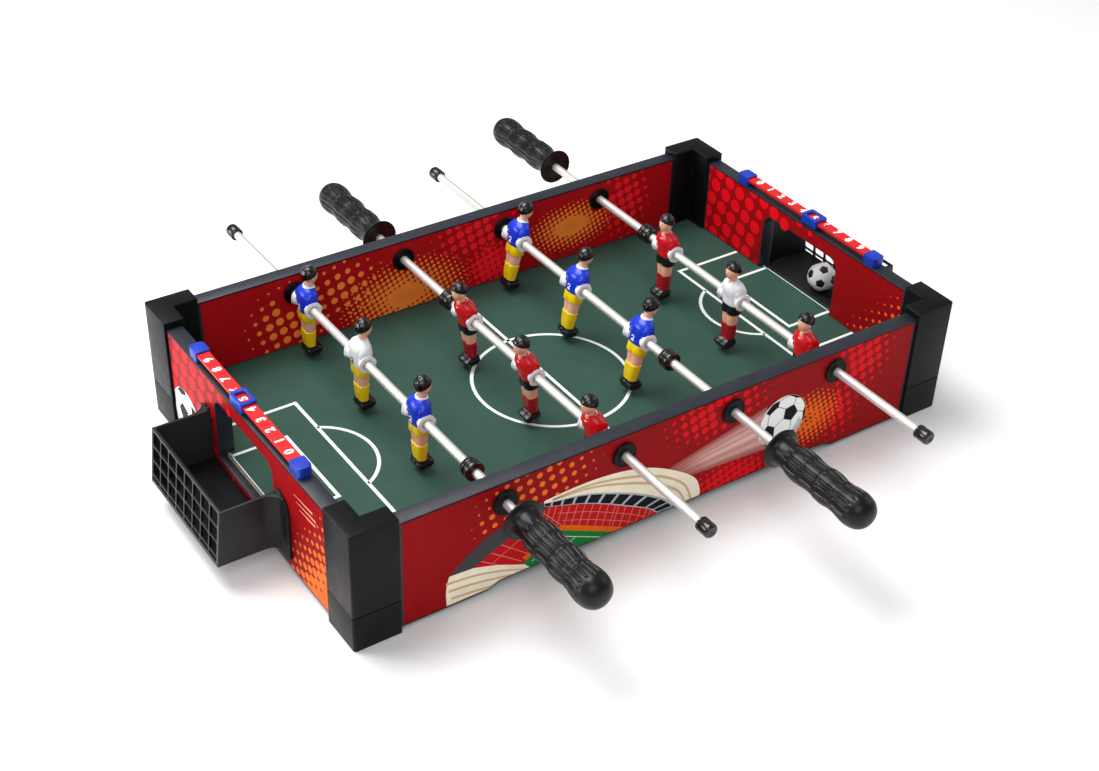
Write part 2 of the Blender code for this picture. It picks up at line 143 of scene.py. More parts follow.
MATS = {
    "edge": make("wall_edge_foil", (30, 34, 44), 0.45, vary=0.16, grain=1500.0, bump=0.16,
                 spec=0.4),
    "mdf": make("wood_fibre_board", (176, 158, 132), 0.85, vary=0.22, scale=240.0,
                stretch=(1, 1, 3.5), grain=2400.0, bump=0.5),
    "pitch": make("pitch_green_print", (48, 78, 68), 0.48, vary=0.07, scale=35.0,
                  grain=3000.0, bump=0.10, depth=0.0001, spec=0.18),
    "pitch_line": ink("pitch_line_white", (230, 237, 233), 0.03),
    "black": make("satin_black_plastic", (8, 9, 12), 0.40, vary=0.2, grain=2200.0,
                  bump=0.14, edge_highlight=0.10, spec=0.13),
    "basket": make("basket_black_plastic", (13, 14, 17), 0.38, vary=0.16, grain=2400.0,
                   bump=0.12, edge_highlight=0.3, spec=0.22),
    "gloss": make("gloss_black_plastic", (10, 11, 13), 0.20, vary=0.15, grain=1500.0,
                  bump=0.05, edge_highlight=0.2, coat=0.2, spec=0.45),
    "grip": make("handle_black_plastic", (11, 12, 15), 0.34, vary=0.18, grain=2600.0,
                 bump=0.12, edge_highlight=0.06, spec=0.28),
    "chrome": make("rod_satin_steel", (208, 206, 202), 0.46, 0.55, vary=0.03, scale=60.0,
                   grain=2600.0, bump=0.05, depth=0.00005, stretch=(6, 0.25, 6), spread=0.05),
    "score_bar": make("score_bar_red", (206, 26, 28), 0.36, vary=0.06, grain=1800.0, spec=0.35),
    "score_blue": make("score_blue_plastic", (14, 50, 164), 0.32, vary=0.08, grain=1800.0,
                       edge_highlight=0.15, spec=0.4),
    "digit": ink("score_digit_white", (250, 250, 252), 0.03),
    "jersey_blue": paint("paint_blue", (14, 52, 196), 0.27),
    "jersey_red": paint("paint_red", (198, 16, 26), 0.27),
    "jersey_white": paint("paint_white", (226, 229, 234), vary=0.04, spec=0.5),
    "glove": paint("glove_white", (240, 242, 245), 0.34, 0.04, 0.5),
    "yellow": paint("paint_yellow", (236, 204, 10), vary=0.06),
    "short_black": paint("paint_black", (17, 18, 22), 0.28, 0.14, 0.45),
    "sock_red": paint("paint_dark_red", (160, 14, 26)),
    "skin": make("figure_paint_skin", (234, 180, 150), 0.38, vary=0.04, scale=260.0, spec=0.4),
    "hair": make("figure_paint_hair", (9, 9, 11), 0.17, vary=0.2, scale=700.0,
                 grain=1500.0, bump=0.35),
    "shoe": make("figure_shoe_black", (14, 15, 19), 0.28, vary=0.14, scale=300.0, edge_highlight=0.3,
                 spec=0.45),
    "eye": make("figure_eye_dark", (40, 26, 22), 0.3, vary=0.1, scale=400.0),
    "ball_white": make("ball_white_plastic", (226, 226, 228), 0.38, vary=0.05, scale=160.0),
    "ball_black": make("ball_black_plastic", (16, 16, 20), 0.35, vary=0.15, scale=160.0),
    "outline": ink("print_outline_black", (13, 13, 16), 0.15),
    "white": ink("print_white", (242, 242, 240), 0.03),
    "trail": ink("print_light_trail", (214, 142, 124), spec=0.28, fade="glow"),
}
# the three inner inks are brighter copies of deep red, bright red and orange: painted light for the
# inside faces of the side walls
for key, name, *rgb in (
        ("red", "deep_red", 145, 14, 19), ("red_in", "inner_red_painted_light", 176, 20, 27),
        ("bright_in", "inner_bright_red_painted_light", 250, 34, 44), ("orange_in", "inner_orange_painted_light", 255, 142, 56),
        ("bright", "bright_red", 224, 16, 28), ("mid", "mid_red", 186, 14, 24),
        ("dark_red", "dark_red", 116, 10, 14), ("orange", "orange", 240, 112, 36),
        ("amber", "amber", 230, 100, 22), ("cream", "cream", 244, 232, 208),
        ("beige", "beige", 204, 178, 136), ("grey", "grey", 66, 66, 68),
        ("frame_grey", "frame_grey", 174, 180, 182), ("night", "window_dark", 18, 22, 30),
        ("stand", "stand_red", 190, 20, 27), ("green", "green", 26, 124, 54),
        ("blush", "blush", 214, 142, 124), ("pearl", "pearl_grey", 190, 192, 198)):
    MATS[key] = ink("print_" + name, rgb)


# ---------------------------------------------------------------- mesh helpers

def link(name, data):
    obj = bpy.data.objects.new(name, data)
    bpy.context.collection.objects.link(obj)
    return obj


def publish(name, bm, mats, body, nodes=(), angle=38.0, flat=False):
    """Turn bm into a finished piece that rides on body."""
    if not flat:
        bmesh.ops.recalc_face_normals(bm, faces=bm.faces)
    mesh = bpy.data.meshes.new(name)
    bm.to_mesh(mesh)
    bm.free()
    for key in mats:
        mesh.materials.append(MATS[key])
    mesh.shade_smooth()
    mesh.set_sharp_from_angle(angle=radians(angle))
    obj = link(name, mesh)
    if nodes:
        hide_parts(*nodes)
    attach(obj, body)
    return obj


def add_loft(bm, rings, closed=False, mat=0):
    """Faces between equal rings of points, capped unless the rings close on themselves."""
    rows = [[bm.verts.new(p) for p in ring] for ring in rings]
    n = len(rows[0])
    faces = []
    for r in range(len(rows) if closed else len(rows) - 1):
        a, b = rows[r], rows[(r + 1) % len(rows)]
        faces += [bm.faces.new((a[i], a[(i + 1) % n], b[(i + 1) % n], b[i])) for i in range(n)]
    if not closed:
        faces += [bm.faces.new(rows[0]), bm.faces.new(rows[-1])]
    for face in faces:
        face.material_index = mat


def add_prism(bm, outline, axis, start, end):
    """Closed 2-D outline swept along axis 0, 1 or 2."""
    def place(p, t):
        q = list(p)
        q.insert(axis, t)
        return q
    add_loft(bm, [[place(p, t) for p in outline] for t in (start, end)])


def add_box(bm, a, b):
    """Box between any two opposite corners."""
    (x0, x1), (y0, y1), (z0, z1) = (sorted(pair) for pair in zip(a, b))
    add_prism(bm, [(x0, y0), (x1, y0), (x1, y1), (x0, y1)], 2, z0, z1)


def fresh(add, *args, **options):
    """New bmesh that holds one add_ shape."""
    bm = bmesh.new()
    add(bm, *args, **options)
    return bm


def circle(n):
    """n angles once round."""
    return [2 * pi * i / n for i in range(n)]


def ellipse(cu, cv, ru, rv, n):
    return [(cu + ru * cos(a), cv + rv * sin(a)) for a in circle(n)]


def carve(bm, cutter, operation="DIFFERENCE"):
    """Exact boolean of two bmeshes."""
    objs = []
    for part in (bm, cutter):
        bmesh.ops.recalc_face_normals(part, faces=part.faces)
        mesh = bpy.data.meshes.new("carve")
        part.to_mesh(mesh)
        part.free()
        objs.append(link("carve", mesh))
    mod = objs[0].modifiers.new("cut", "BOOLEAN")
    mod.operation, mod.solver, mod.object = operation, "EXACT", objs[1]
    graph = bpy.context.evaluated_depsgraph_get()
    result = bpy.data.meshes.new_from_object(objs[0].evaluated_get(graph))
    out = bmesh.new()
    out.from_mesh(result)
    bpy.data.meshes.remove(result)
    for obj in objs:
        mesh = obj.data
        bpy.data.objects.remove(obj, do_unlink=True)
        bpy.data.meshes.remove(mesh)
    bmesh.ops.remove_doubles(out, verts=out.verts, dist=0.00001)
    bmesh.ops.dissolve_limit(out, angle_limit=0.0005, verts=out.verts, edges=out.edges)
    return out


def soften(bm, width, steps=2, angle=30.0):
    """Round every edge sharper than angle."""
    edges = [e for e in bm.edges
             if len(e.link_faces) == 2 and e.calc_face_angle(0.0) > radians(angle)]
    bmesh.ops.bevel(bm, geom=edges, offset=width, offset_type="OFFSET", segments=steps,
                    profile=0.5, affect="EDGES", clamp_overlap=True)


def rounded_rect(u0, u1, v0, v1, radii, steps=5):
    """Outline with radii for the corners (u1,v0), (u1,v1), (u0,v1), (u0,v0)."""
    u0, u1 = sorted((u0, u1))
    corners = ((u1, v0, -90), (u1, v1, 0), (u0, v1, 90), (u0, v0, 180))
    points = []
    for (u, v, start), r in zip(corners, radii):
        if r == 0:
            points.append((u, v))
            continue
        cu, cv = (u - r if u == u1 else u + r), (v - r if v == v1 else v + r)
        points += [(cu + r * cos(radians(start + 90 * s / steps)),
                    cv + r * sin(radians(start + 90 * s / steps))) for s in range(steps + 1)]
    return points


def turned(bm, profile, x, closed=True, seg=40, shape=None):
    """Profile of (y, radius) turned about the rod line; shape(y, angle, r) may change r."""
    rings = []
    for y, r in profile:
        reach = [(a, shape(y, a, r) if shape else r) for a in circle(seg)]
        rings.append([(x + q * sin(a), y, ROD_Z + q * cos(a)) for a, q in reach])
    add_loft(bm, rings, closed)


def smooth_path(points, per=6):
    """Catmull-Rom curve through points."""
    out = []
    for i in range(len(points) - 1):
        p = [points[max(i - 1, 0)], points[i], points[i + 1], points[min(i + 2, len(points) - 1)]]
        for s in range(per):
            t = s / per
            out.append(tuple(0.5 * (2 * b + (c - a) * t + (2 * a - 5 * b + 4 * c - d) * t * t
                                    + (3 * b - a - 3 * c + d) * t ** 3)
                             for a, b, c, d in zip(*p)))
    out.append(tuple(points[-1]))
    return out


# ---------------------------------------------------------------- flat printed artwork

# in mm: half lengths of the side and end prints, print and border tops, foot above the pitch
SIDE_U, END_U, PRINT_V, BORDER_V, FOOT_V = 217.5, 117.6, 88.7, 89.5, 27.4
BASES = (("red", 1, PRINT_V), ("outline", 0.5, BORDER_V))

class Art:
    """Printed artwork for one flat face. Sizes in mm; each layer lies just over the last."""
    LIFT = 0.04

    def __init__(self, window, keep_out=()):
        self.window = window
        self.keep_out = keep_out
        self.parts = []

    def clip(self, poly):
        u0, u1, v0, v1 = self.window
        for axis, limit, sign in ((0, u0, 1), (0, u1, -1), (1, v0, 1), (1, v1, -1)):
            out = []
            for i, b in enumerate(poly):
                a = poly[i - 1]
                da, db = sign * (a[axis] - limit), sign * (b[axis] - limit)
                if (da < 0) != (db < 0):
                    t = da / (da - db)
                    out.append((a[0] + (b[0] - a[0]) * t, a[1] + (b[1] - a[1]) * t))
                if db >= 0:
                    out.append(b)
            poly = out
            if len(poly) < 3:
                return []
        return poly

    def poly(self, colour, layer, points):
        points = self.clip(points)
        if len(points) >= 3:
            self.parts.append((colour, layer, points))

    def disc(self, colour, layer, u, v, r):
        for ku, kv, kr in self.keep_out:
            if sqrt((u - ku) ** 2 + (v - kv) ** 2) < kr + r:
                return
        self.poly(colour, layer, ellipse(u, v, r, r, 14))

    def stroke(self, colour, layer, points, width):
        """Line of constant width, or width(t) along it."""
        left, right = [], []
        last = len(points) - 1
        for i, (u, v) in enumerate(points):
            a, b = points[max(i - 1, 0)], points[min(i + 1, last)]
            d = Vector((b[0] - a[0], b[1] - a[1])).normalized()
            w = (width(i / last) if callable(width) else width) / 2
            left.append((u - d.y * w, v + d.x * w))
            right.append((u + d.y * w, v - d.x * w))
        for i in range(last):
            self.poly(colour, layer, [left[i], left[i + 1], right[i + 1], right[i]])

    def halftone(self, colour, layer, step, origin, radius, slant=15.6):
        """Lattice of dots whose radius comes from radius(u, v)."""
        u0, u1, v0, v1 = self.window
        a = Vector((cos(radians(slant)), sin(radians(slant)))) * step
        b = Vector((-a.y, a.x)) * 1.03
        reach = int(ceil((u1 - u0 + v1 - v0) / step))
        for i in range(-reach, reach + 1):
            for j in range(-reach, reach + 1):
                p = Vector(origin) + a * i + b * j
                if not (u0 - step < p.x < u1 + step and v0 - step < p.y < v1 + step):
                    continue
                r = radius(p.x, p.y)
                if r > 0.35:
                    self.disc(colour, layer, p.x, p.y, r)

    def cluster(self, colour, layer, step, origin, limit, gain, *spots):
        """Dots that shrink away from each spot: weight, centre, half sizes."""
        self.halftone(colour, layer, step, origin, lambda u, v: min(
            limit, gain * max(weight * blob(u, v, *spot) for weight, *spot in spots)))

    def ball(self, layer, cu, cv, r, turn):
        """A plain football seen square on."""
        self.poly("white", layer, ellipse(cu, cv, r, r, 48))

        def flat(v):
            return (cu + r * v.x, cv + r * v.y)
        shade = [(cu + r * cos(a), cv + r * sin(a)) for a in
                 [radians(-150 + 6 * i) for i in range(23)]]
        shade += [(cu - r * 0.10 + r * 0.86 * cos(a), cv + r * 0.16 + r * 0.95 * sin(a)) for a in
                  [radians(-18 - 6 * i) for i in range(23)]]
        self.poly("pearl", layer + 1, shade)
        corners = [turn @ v for v in ico_corners()]
        for i, v in enumerate(corners):
            ring = [w for w in corners if w is not v and (w - v).length < NEXT_CORNER]
            spots = [((2 * v + w) / 3).normalized() for w in ring]
            side = v.orthogonal().normalized()
            up = v.cross(side)
            spots.sort(key=lambda s: atan2(s.dot(up), s.dot(side)))
            edge = []
            for k, s in enumerate(spots):
                q = spots[(k + 1) % 5]
                edge += [(s.lerp(q, t / 4)).normalized() for t in range(4)]
            front = [p if p.z >= 0 else Vector((p.x, p.y, 0)).normalized() for p in edge]
            if sum(p.z > 0 for p in edge) > 6:
                self.poly("night", layer + 2, [flat(p * 0.995) for p in front])
            for w in corners[i + 1:]:
                if (w - v).length < NEXT_CORNER:
                    a, b = ((2 * v + w) / 3).normalized(), ((v + 2 * w) / 3).normalized()
                    path = [a.lerp(b, t / 4).normalized() for t in range(5)]
                    if min(p.z for p in path) > 0.05:
                        self.stroke("grey", layer + 2, [flat(p) for p in path], r * 0.022)

    def build(self, name, place, outward, body="table", slot="printed_board"):
        """place(u, v, height) gives the world point in mm."""
        keys = sorted({part[0] for part in self.parts})
        bm = bmesh.new()
        for colour, layer, points in self.parts:
            verts = [bm.verts.new(Vector(place(u, v, self.LIFT * layer)) * MM) for u, v in points]
            face = bm.faces.new(verts)
            face.material_index = keys.index(colour)
            face.normal_update()
            if face.normal.dot(Vector(outward)) < 0:
                face.normal_flip()
        return publish(name, bm, keys, body, flat=True)


NEXT_CORNER = 1.3    # neighbours in ico_corners lie closer than this


def ico_corners():
    g = (1 + sqrt(5)) / 2
    points = [(0, a, b * g) for a in (-1, 1) for b in (-1, 1)]
    points += [(p[1], p[2], p[0]) for p in points] + [(p[2], p[0], p[1]) for p in points]
    return [Vector(p).normalized() for p in points]


def blob(u, v, cu, cv, ru, rv):
    """1 at the centre falling to 0 at the ellipse."""
    return max(0.0, 1.0 - sqrt(((u - cu) / ru) ** 2 + ((v - cv) / rv) ** 2))


def glow(art, layer, cu, cv, ru, rv, core, step, colour="amber"):
    """Solid patch fading into dots."""
    art.poly(colour, layer, ellipse(cu, cv, core * ru, core * rv, 32))
    art.halftone(colour, layer + 1, step, (cu, cv),
                 lambda u, v: step * 0.62 * sqrt(blob(u, v, cu, cv, ru, rv)), 20.0)


BUSH_SPOTS = [(rod[1] * 1000, 74.0, 9.5) for rod in RODS]


def outer_side_art():
    """Outer face of a side wall: stadium, flying ball and dots. u is x, v is z."""
    art = Art((-SIDE_U, SIDE_U, 5.0, PRINT_V), BUSH_SPOTS)
    art.cluster("orange", 3, 8.0, (-128, 72), 2.3, 4.0, (1, -114, 78, 56, 28),
                (0.7, -152, 62, 18, 20))
    art.cluster("bright", 2, 7.7, (36, 78), 3.5, 5.6, (1, 34, 78, 58, 28))
    art.cluster("bright", 2, 8.0, (170, 66), 3.7, 5.6, (1, 168, 78, 40, 44),
                (0.8, 152, 36, 26, 40))
    art.cluster("bright", 2, 5.6, (50, 12), 2.9, 5.4, (1, 52, 10, 48, 24))
    art.cluster("mid", 2, 5.6, (50, 40), 2.4, 2.4, (1, 55, 36, 50, 26))
    glow(art, 3, 122, 38, 34, 27, 0.30, 4.3)
    art.halftone("dark_red", 5, 4.3, (124, 38), lambda u, v: 1.2 * blob(u, v, 122, 38, 13, 11)
                 + 0.3, 20.0)
    art.parts = [p for p in art.parts if not (p[0] == "dark_red" and sqrt(
        (p[2][0][0] - 122) ** 2 + (p[2][0][1] - 38) ** 2) > 14)]
    art.ball(5, 95.6, 46, 22, Matrix.Rotation(0.35, 3, "X") @ Matrix.Rotation(0.42, 3, "Y"))
    stadium(art)
    return art


def between(first, second, s):
    """Path part s of the way from first to second."""
    return [(a[0] * (1 - s) + b[0] * s, a[1] * (1 - s) + b[1] * s) for a, b in zip(first, second)]


def stadium(art):
    """Bowl with two pale roofs, a glazed front, stands and a strip of pitch."""
    rim = smooth_path([(-185.5, 4), (-186, 18), (-183.6, 29.7), (-170, 41), (-155, 49.5),
                       (-142, 54), (-128, 58.5), (-110.7, 61), (-88, 62.4), (-65, 61.8),
                       (-42, 58.3), (-19.3, 51.1), (3.6, 38.3), (17.9, 26.9), (23, 16.9),
                       (24.3, 8), (24.3, 4)])
    art.poly("stand", 4, rim)
    shade = smooth_path([(-183.6, 29.7), (-170, 41), (-155, 49.5), (-142, 54), (-128, 58.5),
                         (-111, 60.5)])
    art.poly("grey", 5, shade + smooth_path([(-108, 54), (-122, 47.5), (-138, 41.5),
                                             (-153, 34.5), (-165, 28.4)]))
    art.poly("cream", 6, smooth_path([(-185.5, 3), (-186, 18), (-183.6, 29.7)])
             + smooth_path([(-165, 28.4), (-147, 22.5), (-130.7, 15.4), (-118, 10), (-108, 3)]))
    for k in range(3):
        t = 0.22 + 0.27 * k
        art.stroke("beige", 7, smooth_path([(-186 + 2 * k, 29.7 - 26 * t), (-165, 27 - 25 * t),
                                            (-145, 21 - 21 * t), (-128, 12.5 - 12 * t),
                                            (-118, 7 - 8 * t)]), lambda s: 2.2 - 1.4 * s)
    top = smooth_path([(-110.7, 59.1), (-96.4, 56.6), (-76.4, 52.6), (-53.6, 44), (-30.7, 33.4),
                       (-7.9, 19.1), (1.5, 8.3), (4, 3)])
    low = smooth_path([(-110.7, 56.5), (-98, 51.8), (-80, 45.6), (-60, 36.6), (-42, 27),
                       (-23, 16.5), (-14, 9), (-8, 3)])
    art.poly("cream", 6, rim[7 * 6:] + top[::-1])
    outside = smooth_path([(-104, 60.2), (-65, 60.6), (-19, 50), (12, 30), (22, 6)], 8)
    inside = smooth_path([(-104, 58.6), (-70, 52), (-30, 34.4), (-4, 18), (5, 6)], 8)
    for s in (0.30, 0.62):
        art.stroke("beige", 7, between(outside, inside, s), lambda t: 1.3 + 0.8 * sin(pi * t))
    art.poly("frame_grey", 7, top + low[::-1])
    windows, span = 13, len(top) - 1

    def glazing(f, s):
        """Point f steps along the glazed front and part s down it."""
        k = min(int(f), span - 1)
        a, b = (between(path[k:k + 1], path[k + 1:k + 2], f - k) for path in (top, low))
        return between(a, b, s)[0]
    for i in range(windows):
        art.poly("night", 8, [glazing((i + t) / windows * span, s) for t, s in (
            (0.10, 0.13), (0.90, 0.13), (0.90, 0.92), (0.10, 0.92))])
    # aisles and rows of the stands
    for i in range(1, 22):
        u, v = low[int(i / 22 * span)]
        drop = (v + 10.5 + 0.448 * u) / 1.1255
        if drop > 1:
            art.stroke("blush", 5, [(u, v), (u - 0.28 * drop, v - drop)], 0.45)
    steps = [0.10 + i / 13 * 0.84 for i in range(14)]
    for s in (0.33, 0.66):
        art.stroke("blush", 5, between([low[int(t * span)] for t in steps],
                                       [(-98 + 66 * t, 33 - 30 * t) for t in steps], s), 0.35)
    for i in range(7):
        art.stroke("blush", 5, [(-160 + 8 * i, 32 + 3.4 * i), (-134 + 7 * i, 14 + 2.6 * i)], 0.45)
    art.stroke("blush", 5, [(-150, 26), (-118, 42)], 0.35)
    # the pitch and the boards behind it
    art.poly("amber", 6, [(-127, 19.5), (-96, 34.5), (-39, 7), (-33, 5), (-46, 5), (-96, 29),
                          (-124, 16)])
    art.poly("green", 7, [(-126, 14.5), (-95.5, 29.5), (-44, 5), (-118, 5)])
    art.stroke("white", 8, [(-119, 13), (-96, 24.5), (-54, 4.6)], 0.5)
    art.stroke("white", 8, [(-84, 18.5), (-104, 5)], 0.5)


def build_trail(name, side):
    """Soft streak of light behind the flying ball."""
    red, pale = Vector(lin(139, 13, 18)), Vector(lin(248, 214, 200))
    bm = bmesh.new()
    tint = bm.loops.layers.float_color.new("glow")
    rows, cols = 24, 22
    shade, grid = {}, []
    for i in range(rows + 1):
        t = i / rows
        low, high = 31 - 6 * t, 44 + 21 * t
        u, line = -4 + 90 * t, []
        for j in range(cols + 1):
            s = j / cols
            v = low + (high - low) * s
            point = bm.verts.new(Vector((-side * (u + 14 * (0.5 - s)),
                                         side * (OUTER_Y * 1000 + 0.14), v)) * MM)
            ray = 0.5 + 0.5 * sin(s * 31 + 1.3 * sin(s * 9))
            mix = sin(pi * s) ** 0.9 * min(1.0, t * 3) * (0.44 + 0.40 * t) * (0.55 + 0.55 * ray)
            shade[point] = red.lerp(pale, min(1.0, mix))
            line.append(point)
        grid.append(line)
    for a, b in zip(grid, grid[1:]):
        for j in range(cols):
            face = bm.faces.new((a[j], a[j + 1], b[j + 1], b[j]))
            face.normal_update()
            if face.normal.y * side < 0:
                face.normal_flip()
            for loop in face.loops:
                loop[tint] = (*shade[loop.vert], 1.0)
    publish(name, bm, ["trail"], "table", flat=True)


def inner_side_art():
    """Inner face of a side wall: fields of dots with two glows, in brighter copies of the inks that
    paint light onto it. u is x, v is z.
    """
    art = Art((-SIDE_U, SIDE_U, 27.5, PRINT_V), BUSH_SPOTS)
    art.cluster("orange_in", 2, 9.2, (-120, 62), 3.4, 5.6, (1, -146, 50, 44, 40),
                (0.75, -100, 64, 46, 34))
    glow(art, 3, -45, 40, 62, 36, 0.27, 4.4, "orange_in")
    art.cluster("bright_in", 2, 8.4, (24, 76), 3.6, 6.2, (1, 22, 78, 52, 30))
    art.cluster("bright_in", 2, 5.8, (36, 46), 3.1, 5.4, (1, 37, 44, 34, 26))
    glow(art, 3, 114, 56, 46, 24, 0.36, 4.2, "orange_in")
    art.cluster("bright_in", 2, 8.4, (166, 64), 3.8, 6.0, (1, 166, 64, 36, 44))
    return art


def clear_of_goal(u, v):
    """True where a dot's centre misses the goal mouth."""
    return abs(u) > 46 or v > 79 or v < 22.5


def end_art(inner):
    """Face of an end wall. u is the coordinate to the far side of the left wall, v is z."""
    art = Art((-END_U, END_U, 28.0 if inner else 5.0, PRINT_V))

    def big(u, v):
        if not clear_of_goal(u, v):
            return 0.0
        first = -22 if inner else 4
        return min(5.9, max(0.0, (u - first) * 0.105 + 1.2 * (v > 60)))
    art.halftone("bright", 2, 13.9, (77.5, 80.7), lambda u, v: min(
        big(u, v), max(0.0, abs(u) - 46.5) if 22.5 < v < 79 else 9.0), 15.6)
    if not inner:
        art.halftone("mid", 2, 13.9, (36.0, 15.0), lambda u, v: 4.6 if v < 18 and -10 < u < 60
                     else 0.0, 15.6)
        art.ball(4, 97.5, 27.3, 23, Matrix.Rotation(-0.6, 3, "X") @ Matrix.Rotation(0.3, 3, "Y"))
        # plain speed stripes
        for k, (start, length) in enumerate(((-76, 26), (-79, 27), (-83, 22))):
            v = 75.0 - 4.2 * k
            art.stroke("blush", 3, [(start, v), (start - length, v + 1.6)],
                       lambda t: 0.5 + 1.7 * t)
    art.halftone("orange", 2, 7.6, (-100, 26), lambda u, v: min(4.2, max(
        0.0, 0.075 * ((-62 - u) + (52 - v) * 0.9) - 1.0)) if u < -60 else 0.0, -20.0)
    if not inner:
        art.poly("amber", 3, [(-END_U, 5), (-100, 5), (-104, 11), (-109, 16), (-112, 23),
                              (-END_U, 30)])
    return art


# ---------------------------------------------------------------- the case

def build_field():
    arm_x, arm_y = HALF_L - POST_ARM - GAP, HALF_W - POST_ARM - GAP
    in_x, in_y = HALF_L - POST_T - GAP, HALF_W - POST_T - GAP
    out_x = HALF_L - OVERHANG - WALL_T + GROOVE - GAP
    out_y = HALF_W - OVERHANG - WALL_T + GROOVE - GAP
    corner = [(out_x, arm_y), (in_x, arm_y), (in_x, in_y), (arm_x, in_y), (arm_x, out_y)]
    outline = corner + [(-x, y) for x, y in reversed(corner)]
    outline += [(-x, -y) for x, y in corner] + [(x, -y) for x, y in reversed(corner)]
    bm = fresh(add_prism, outline, 2, FIELD_Z0, FIELD_Z1)
    soften(bm, 0.0003, 1)
    bmesh.ops.recalc_face_normals(bm, faces=bm.faces)
    for face in bm.faces:
        face.material_index = 1 if face.normal.z < 0.7 else 0
    publish("playing_field_board", bm, ["pitch", "mdf"], "table",
            ["playing_field"])
    end, half_width, width = 246.0, 141.4, 2.7
    art = Art((-end, end, -half_width, half_width))

    def arc(cx, cy, r, a0, a1, n):
        return [(cx + r * cos(radians(a0 + (a1 - a0) * i / n)),
                 cy + r * sin(radians(a0 + (a1 - a0) * i / n))) for i in range(n + 1)]

    def line(points, thick=width):
        art.stroke("pitch_line", 1, points, thick)
    line([(0, -half_width), (0, half_width)])
    line(arc(0, 0, 60.5, 0, 360, 96))
    for side in (-1, 1):
        # big box, which stops at the end wall, and small box, which runs on into the mouth
        for depth, half, out in ((179, 73, 240.6), (203, 39.5, end)):
            h = width / 2
            line([(side * depth, -half - h), (side * depth, half + h)])
            for sy in (-1, 1):
                line([(side * (depth + h), sy * half), (side * out, sy * half)])
        line([(side * 245.9, -43.5), (side * 245.9, 43.5)], 1.2)
        middle = 0 if side < 0 else 180
        line(arc(side * 198, 0, 42.5, middle - 63.5, middle + 63.5, 40))
    art.build("playing_field_lines", lambda u, v, h: (u, v, FIELD_Z1 * 1000 + h), (0, 0, 1),
              slot="pitch_board")


def build_side_wall(name, side):
    end = HALF_L - OVERHANG - GROOVE - 0.0002
    y0, y1 = side * INNER_Y, side * OUTER_Y
    r0, r1 = (RELIEF_X0, RELIEF_X1) if side < 0 else (-RELIEF_X1, -RELIEF_X0)
    outline = [(-end, WALL_Z0), (r0 - RELIEF_RUN, WALL_Z0), (r0, RELIEF_Z), (r1, RELIEF_Z),
               (r1 + RELIEF_RUN, WALL_Z0), (end, WALL_Z0), (end, WALL_Z1), (-end, WALL_Z1)]
    bm = carve(fresh(add_prism, outline, 1, y0, y1), fresh(
        add_box, (-HALF_L, y0 - side * 0.001, FIELD_Z0 - GAP),
        (HALF_L, y0 + side * GROOVE, FIELD_Z1 + GAP)))
    holes = bmesh.new()
    for rod in RODS:
        turned(holes, [(y0 - side * 0.002, HOLE_R), (y1 + side * 0.002, HOLE_R)], rod[1],
               False, 28)
    bm = carve(bm, holes)
    soften(bm, 0.0005, 2, 40.0)
    publish(name + "_board", bm, ["edge"], "table", [name])
    # print inside a narrow dark border
    art = outer_side_art()
    lo, hi, run = RELIEF_X0 * 1000, RELIEF_X1 * 1000, RELIEF_RUN * 1000

    def face_outline(rim):
        low, high = WALL_Z0 * 1000 + rim, RELIEF_Z * 1000 + rim
        return [(-SIDE_U, low), (lo - run, low), (lo, high), (hi, high), (hi + run, low),
                (SIDE_U, low), (SIDE_U, WALL_Z1 * 1000 - rim), (-SIDE_U, WALL_Z1 * 1000 - rim)]
    base = face_outline(1.3)
    art.parts = [(c, layer, relief_trim(points, base)) for c, layer, points in art.parts]
    art.parts = [p for p in art.parts if len(p[2]) >= 3]
    art.parts += [("red", 1, base), ("outline", 0.5, face_outline(0.5))]
    art.build(name + "_outer_print", lambda u, v, h: (-side * u, side * (OUTER_Y * 1000 + h), v),
              (0, side, 0))
    build_trail(name + "_light_trail", side)
    art = inner_side_art()
    # the base red inside the wall is the brighter copy of deep red, painted light
    for colour, layer, top in BASES:
        art.parts.append((colour.replace("red", "red_in"), layer, [
            (-SIDE_U, FOOT_V), (SIDE_U, FOOT_V), (SIDE_U, top), (-SIDE_U, top)]))
    art.build(name + "_inner_print", lambda u, v, h: (side * u, side * (INNER_Y * 1000 - h), v),
              (0, -side, 0))


def relief_trim(points, base):
    """Lift artwork out of the foot relief along the wall's lower edge."""
    (x0, za), (x1, zb) = base[1], base[2]
    x2, x3 = base[3][0], base[4][0]

    def floor(x):
        if x <= x0 or x >= x3:
            return za
        if x < x1:
            return za + (zb - za) * (x - x0) / (x1 - x0)
        if x > x2:
            return zb + (za - zb) * (x - x2) / (x3 - x2)
        return zb
    if min(p[1] for p in points) >= zb:
        return points
    if max(p[1] for p in points) <= min(floor(p[0]) for p in points):
        return []
    dense = []
    for i, b in enumerate(points):
        a = points[i - 1]
        n = max(1, int(abs(b[0] - a[0]) / 2.0)) if min(a[1], b[1]) < zb + 2 else 1
        dense += [(a[0] + (b[0] - a[0]) * (k + 1) / n, a[1] + (b[1] - a[1]) * (k + 1) / n)
                  for k in range(n)]
    out = [(x, max(z, floor(x))) for x, z in dense]
    flat = all(abs(z - floor(x)) < 0.02 for x, z in out)
    return [] if flat else out


RIM = 0.0008    # bare border round the goal mouth


def mouth_outline(grow=0.0):
    g = GOAL_HALF + grow
    return rounded_rect(-g, g, GOAL_Z0, GOAL_Z1 + grow, (0, GOAL_R + grow, GOAL_R + grow, 0), 8)


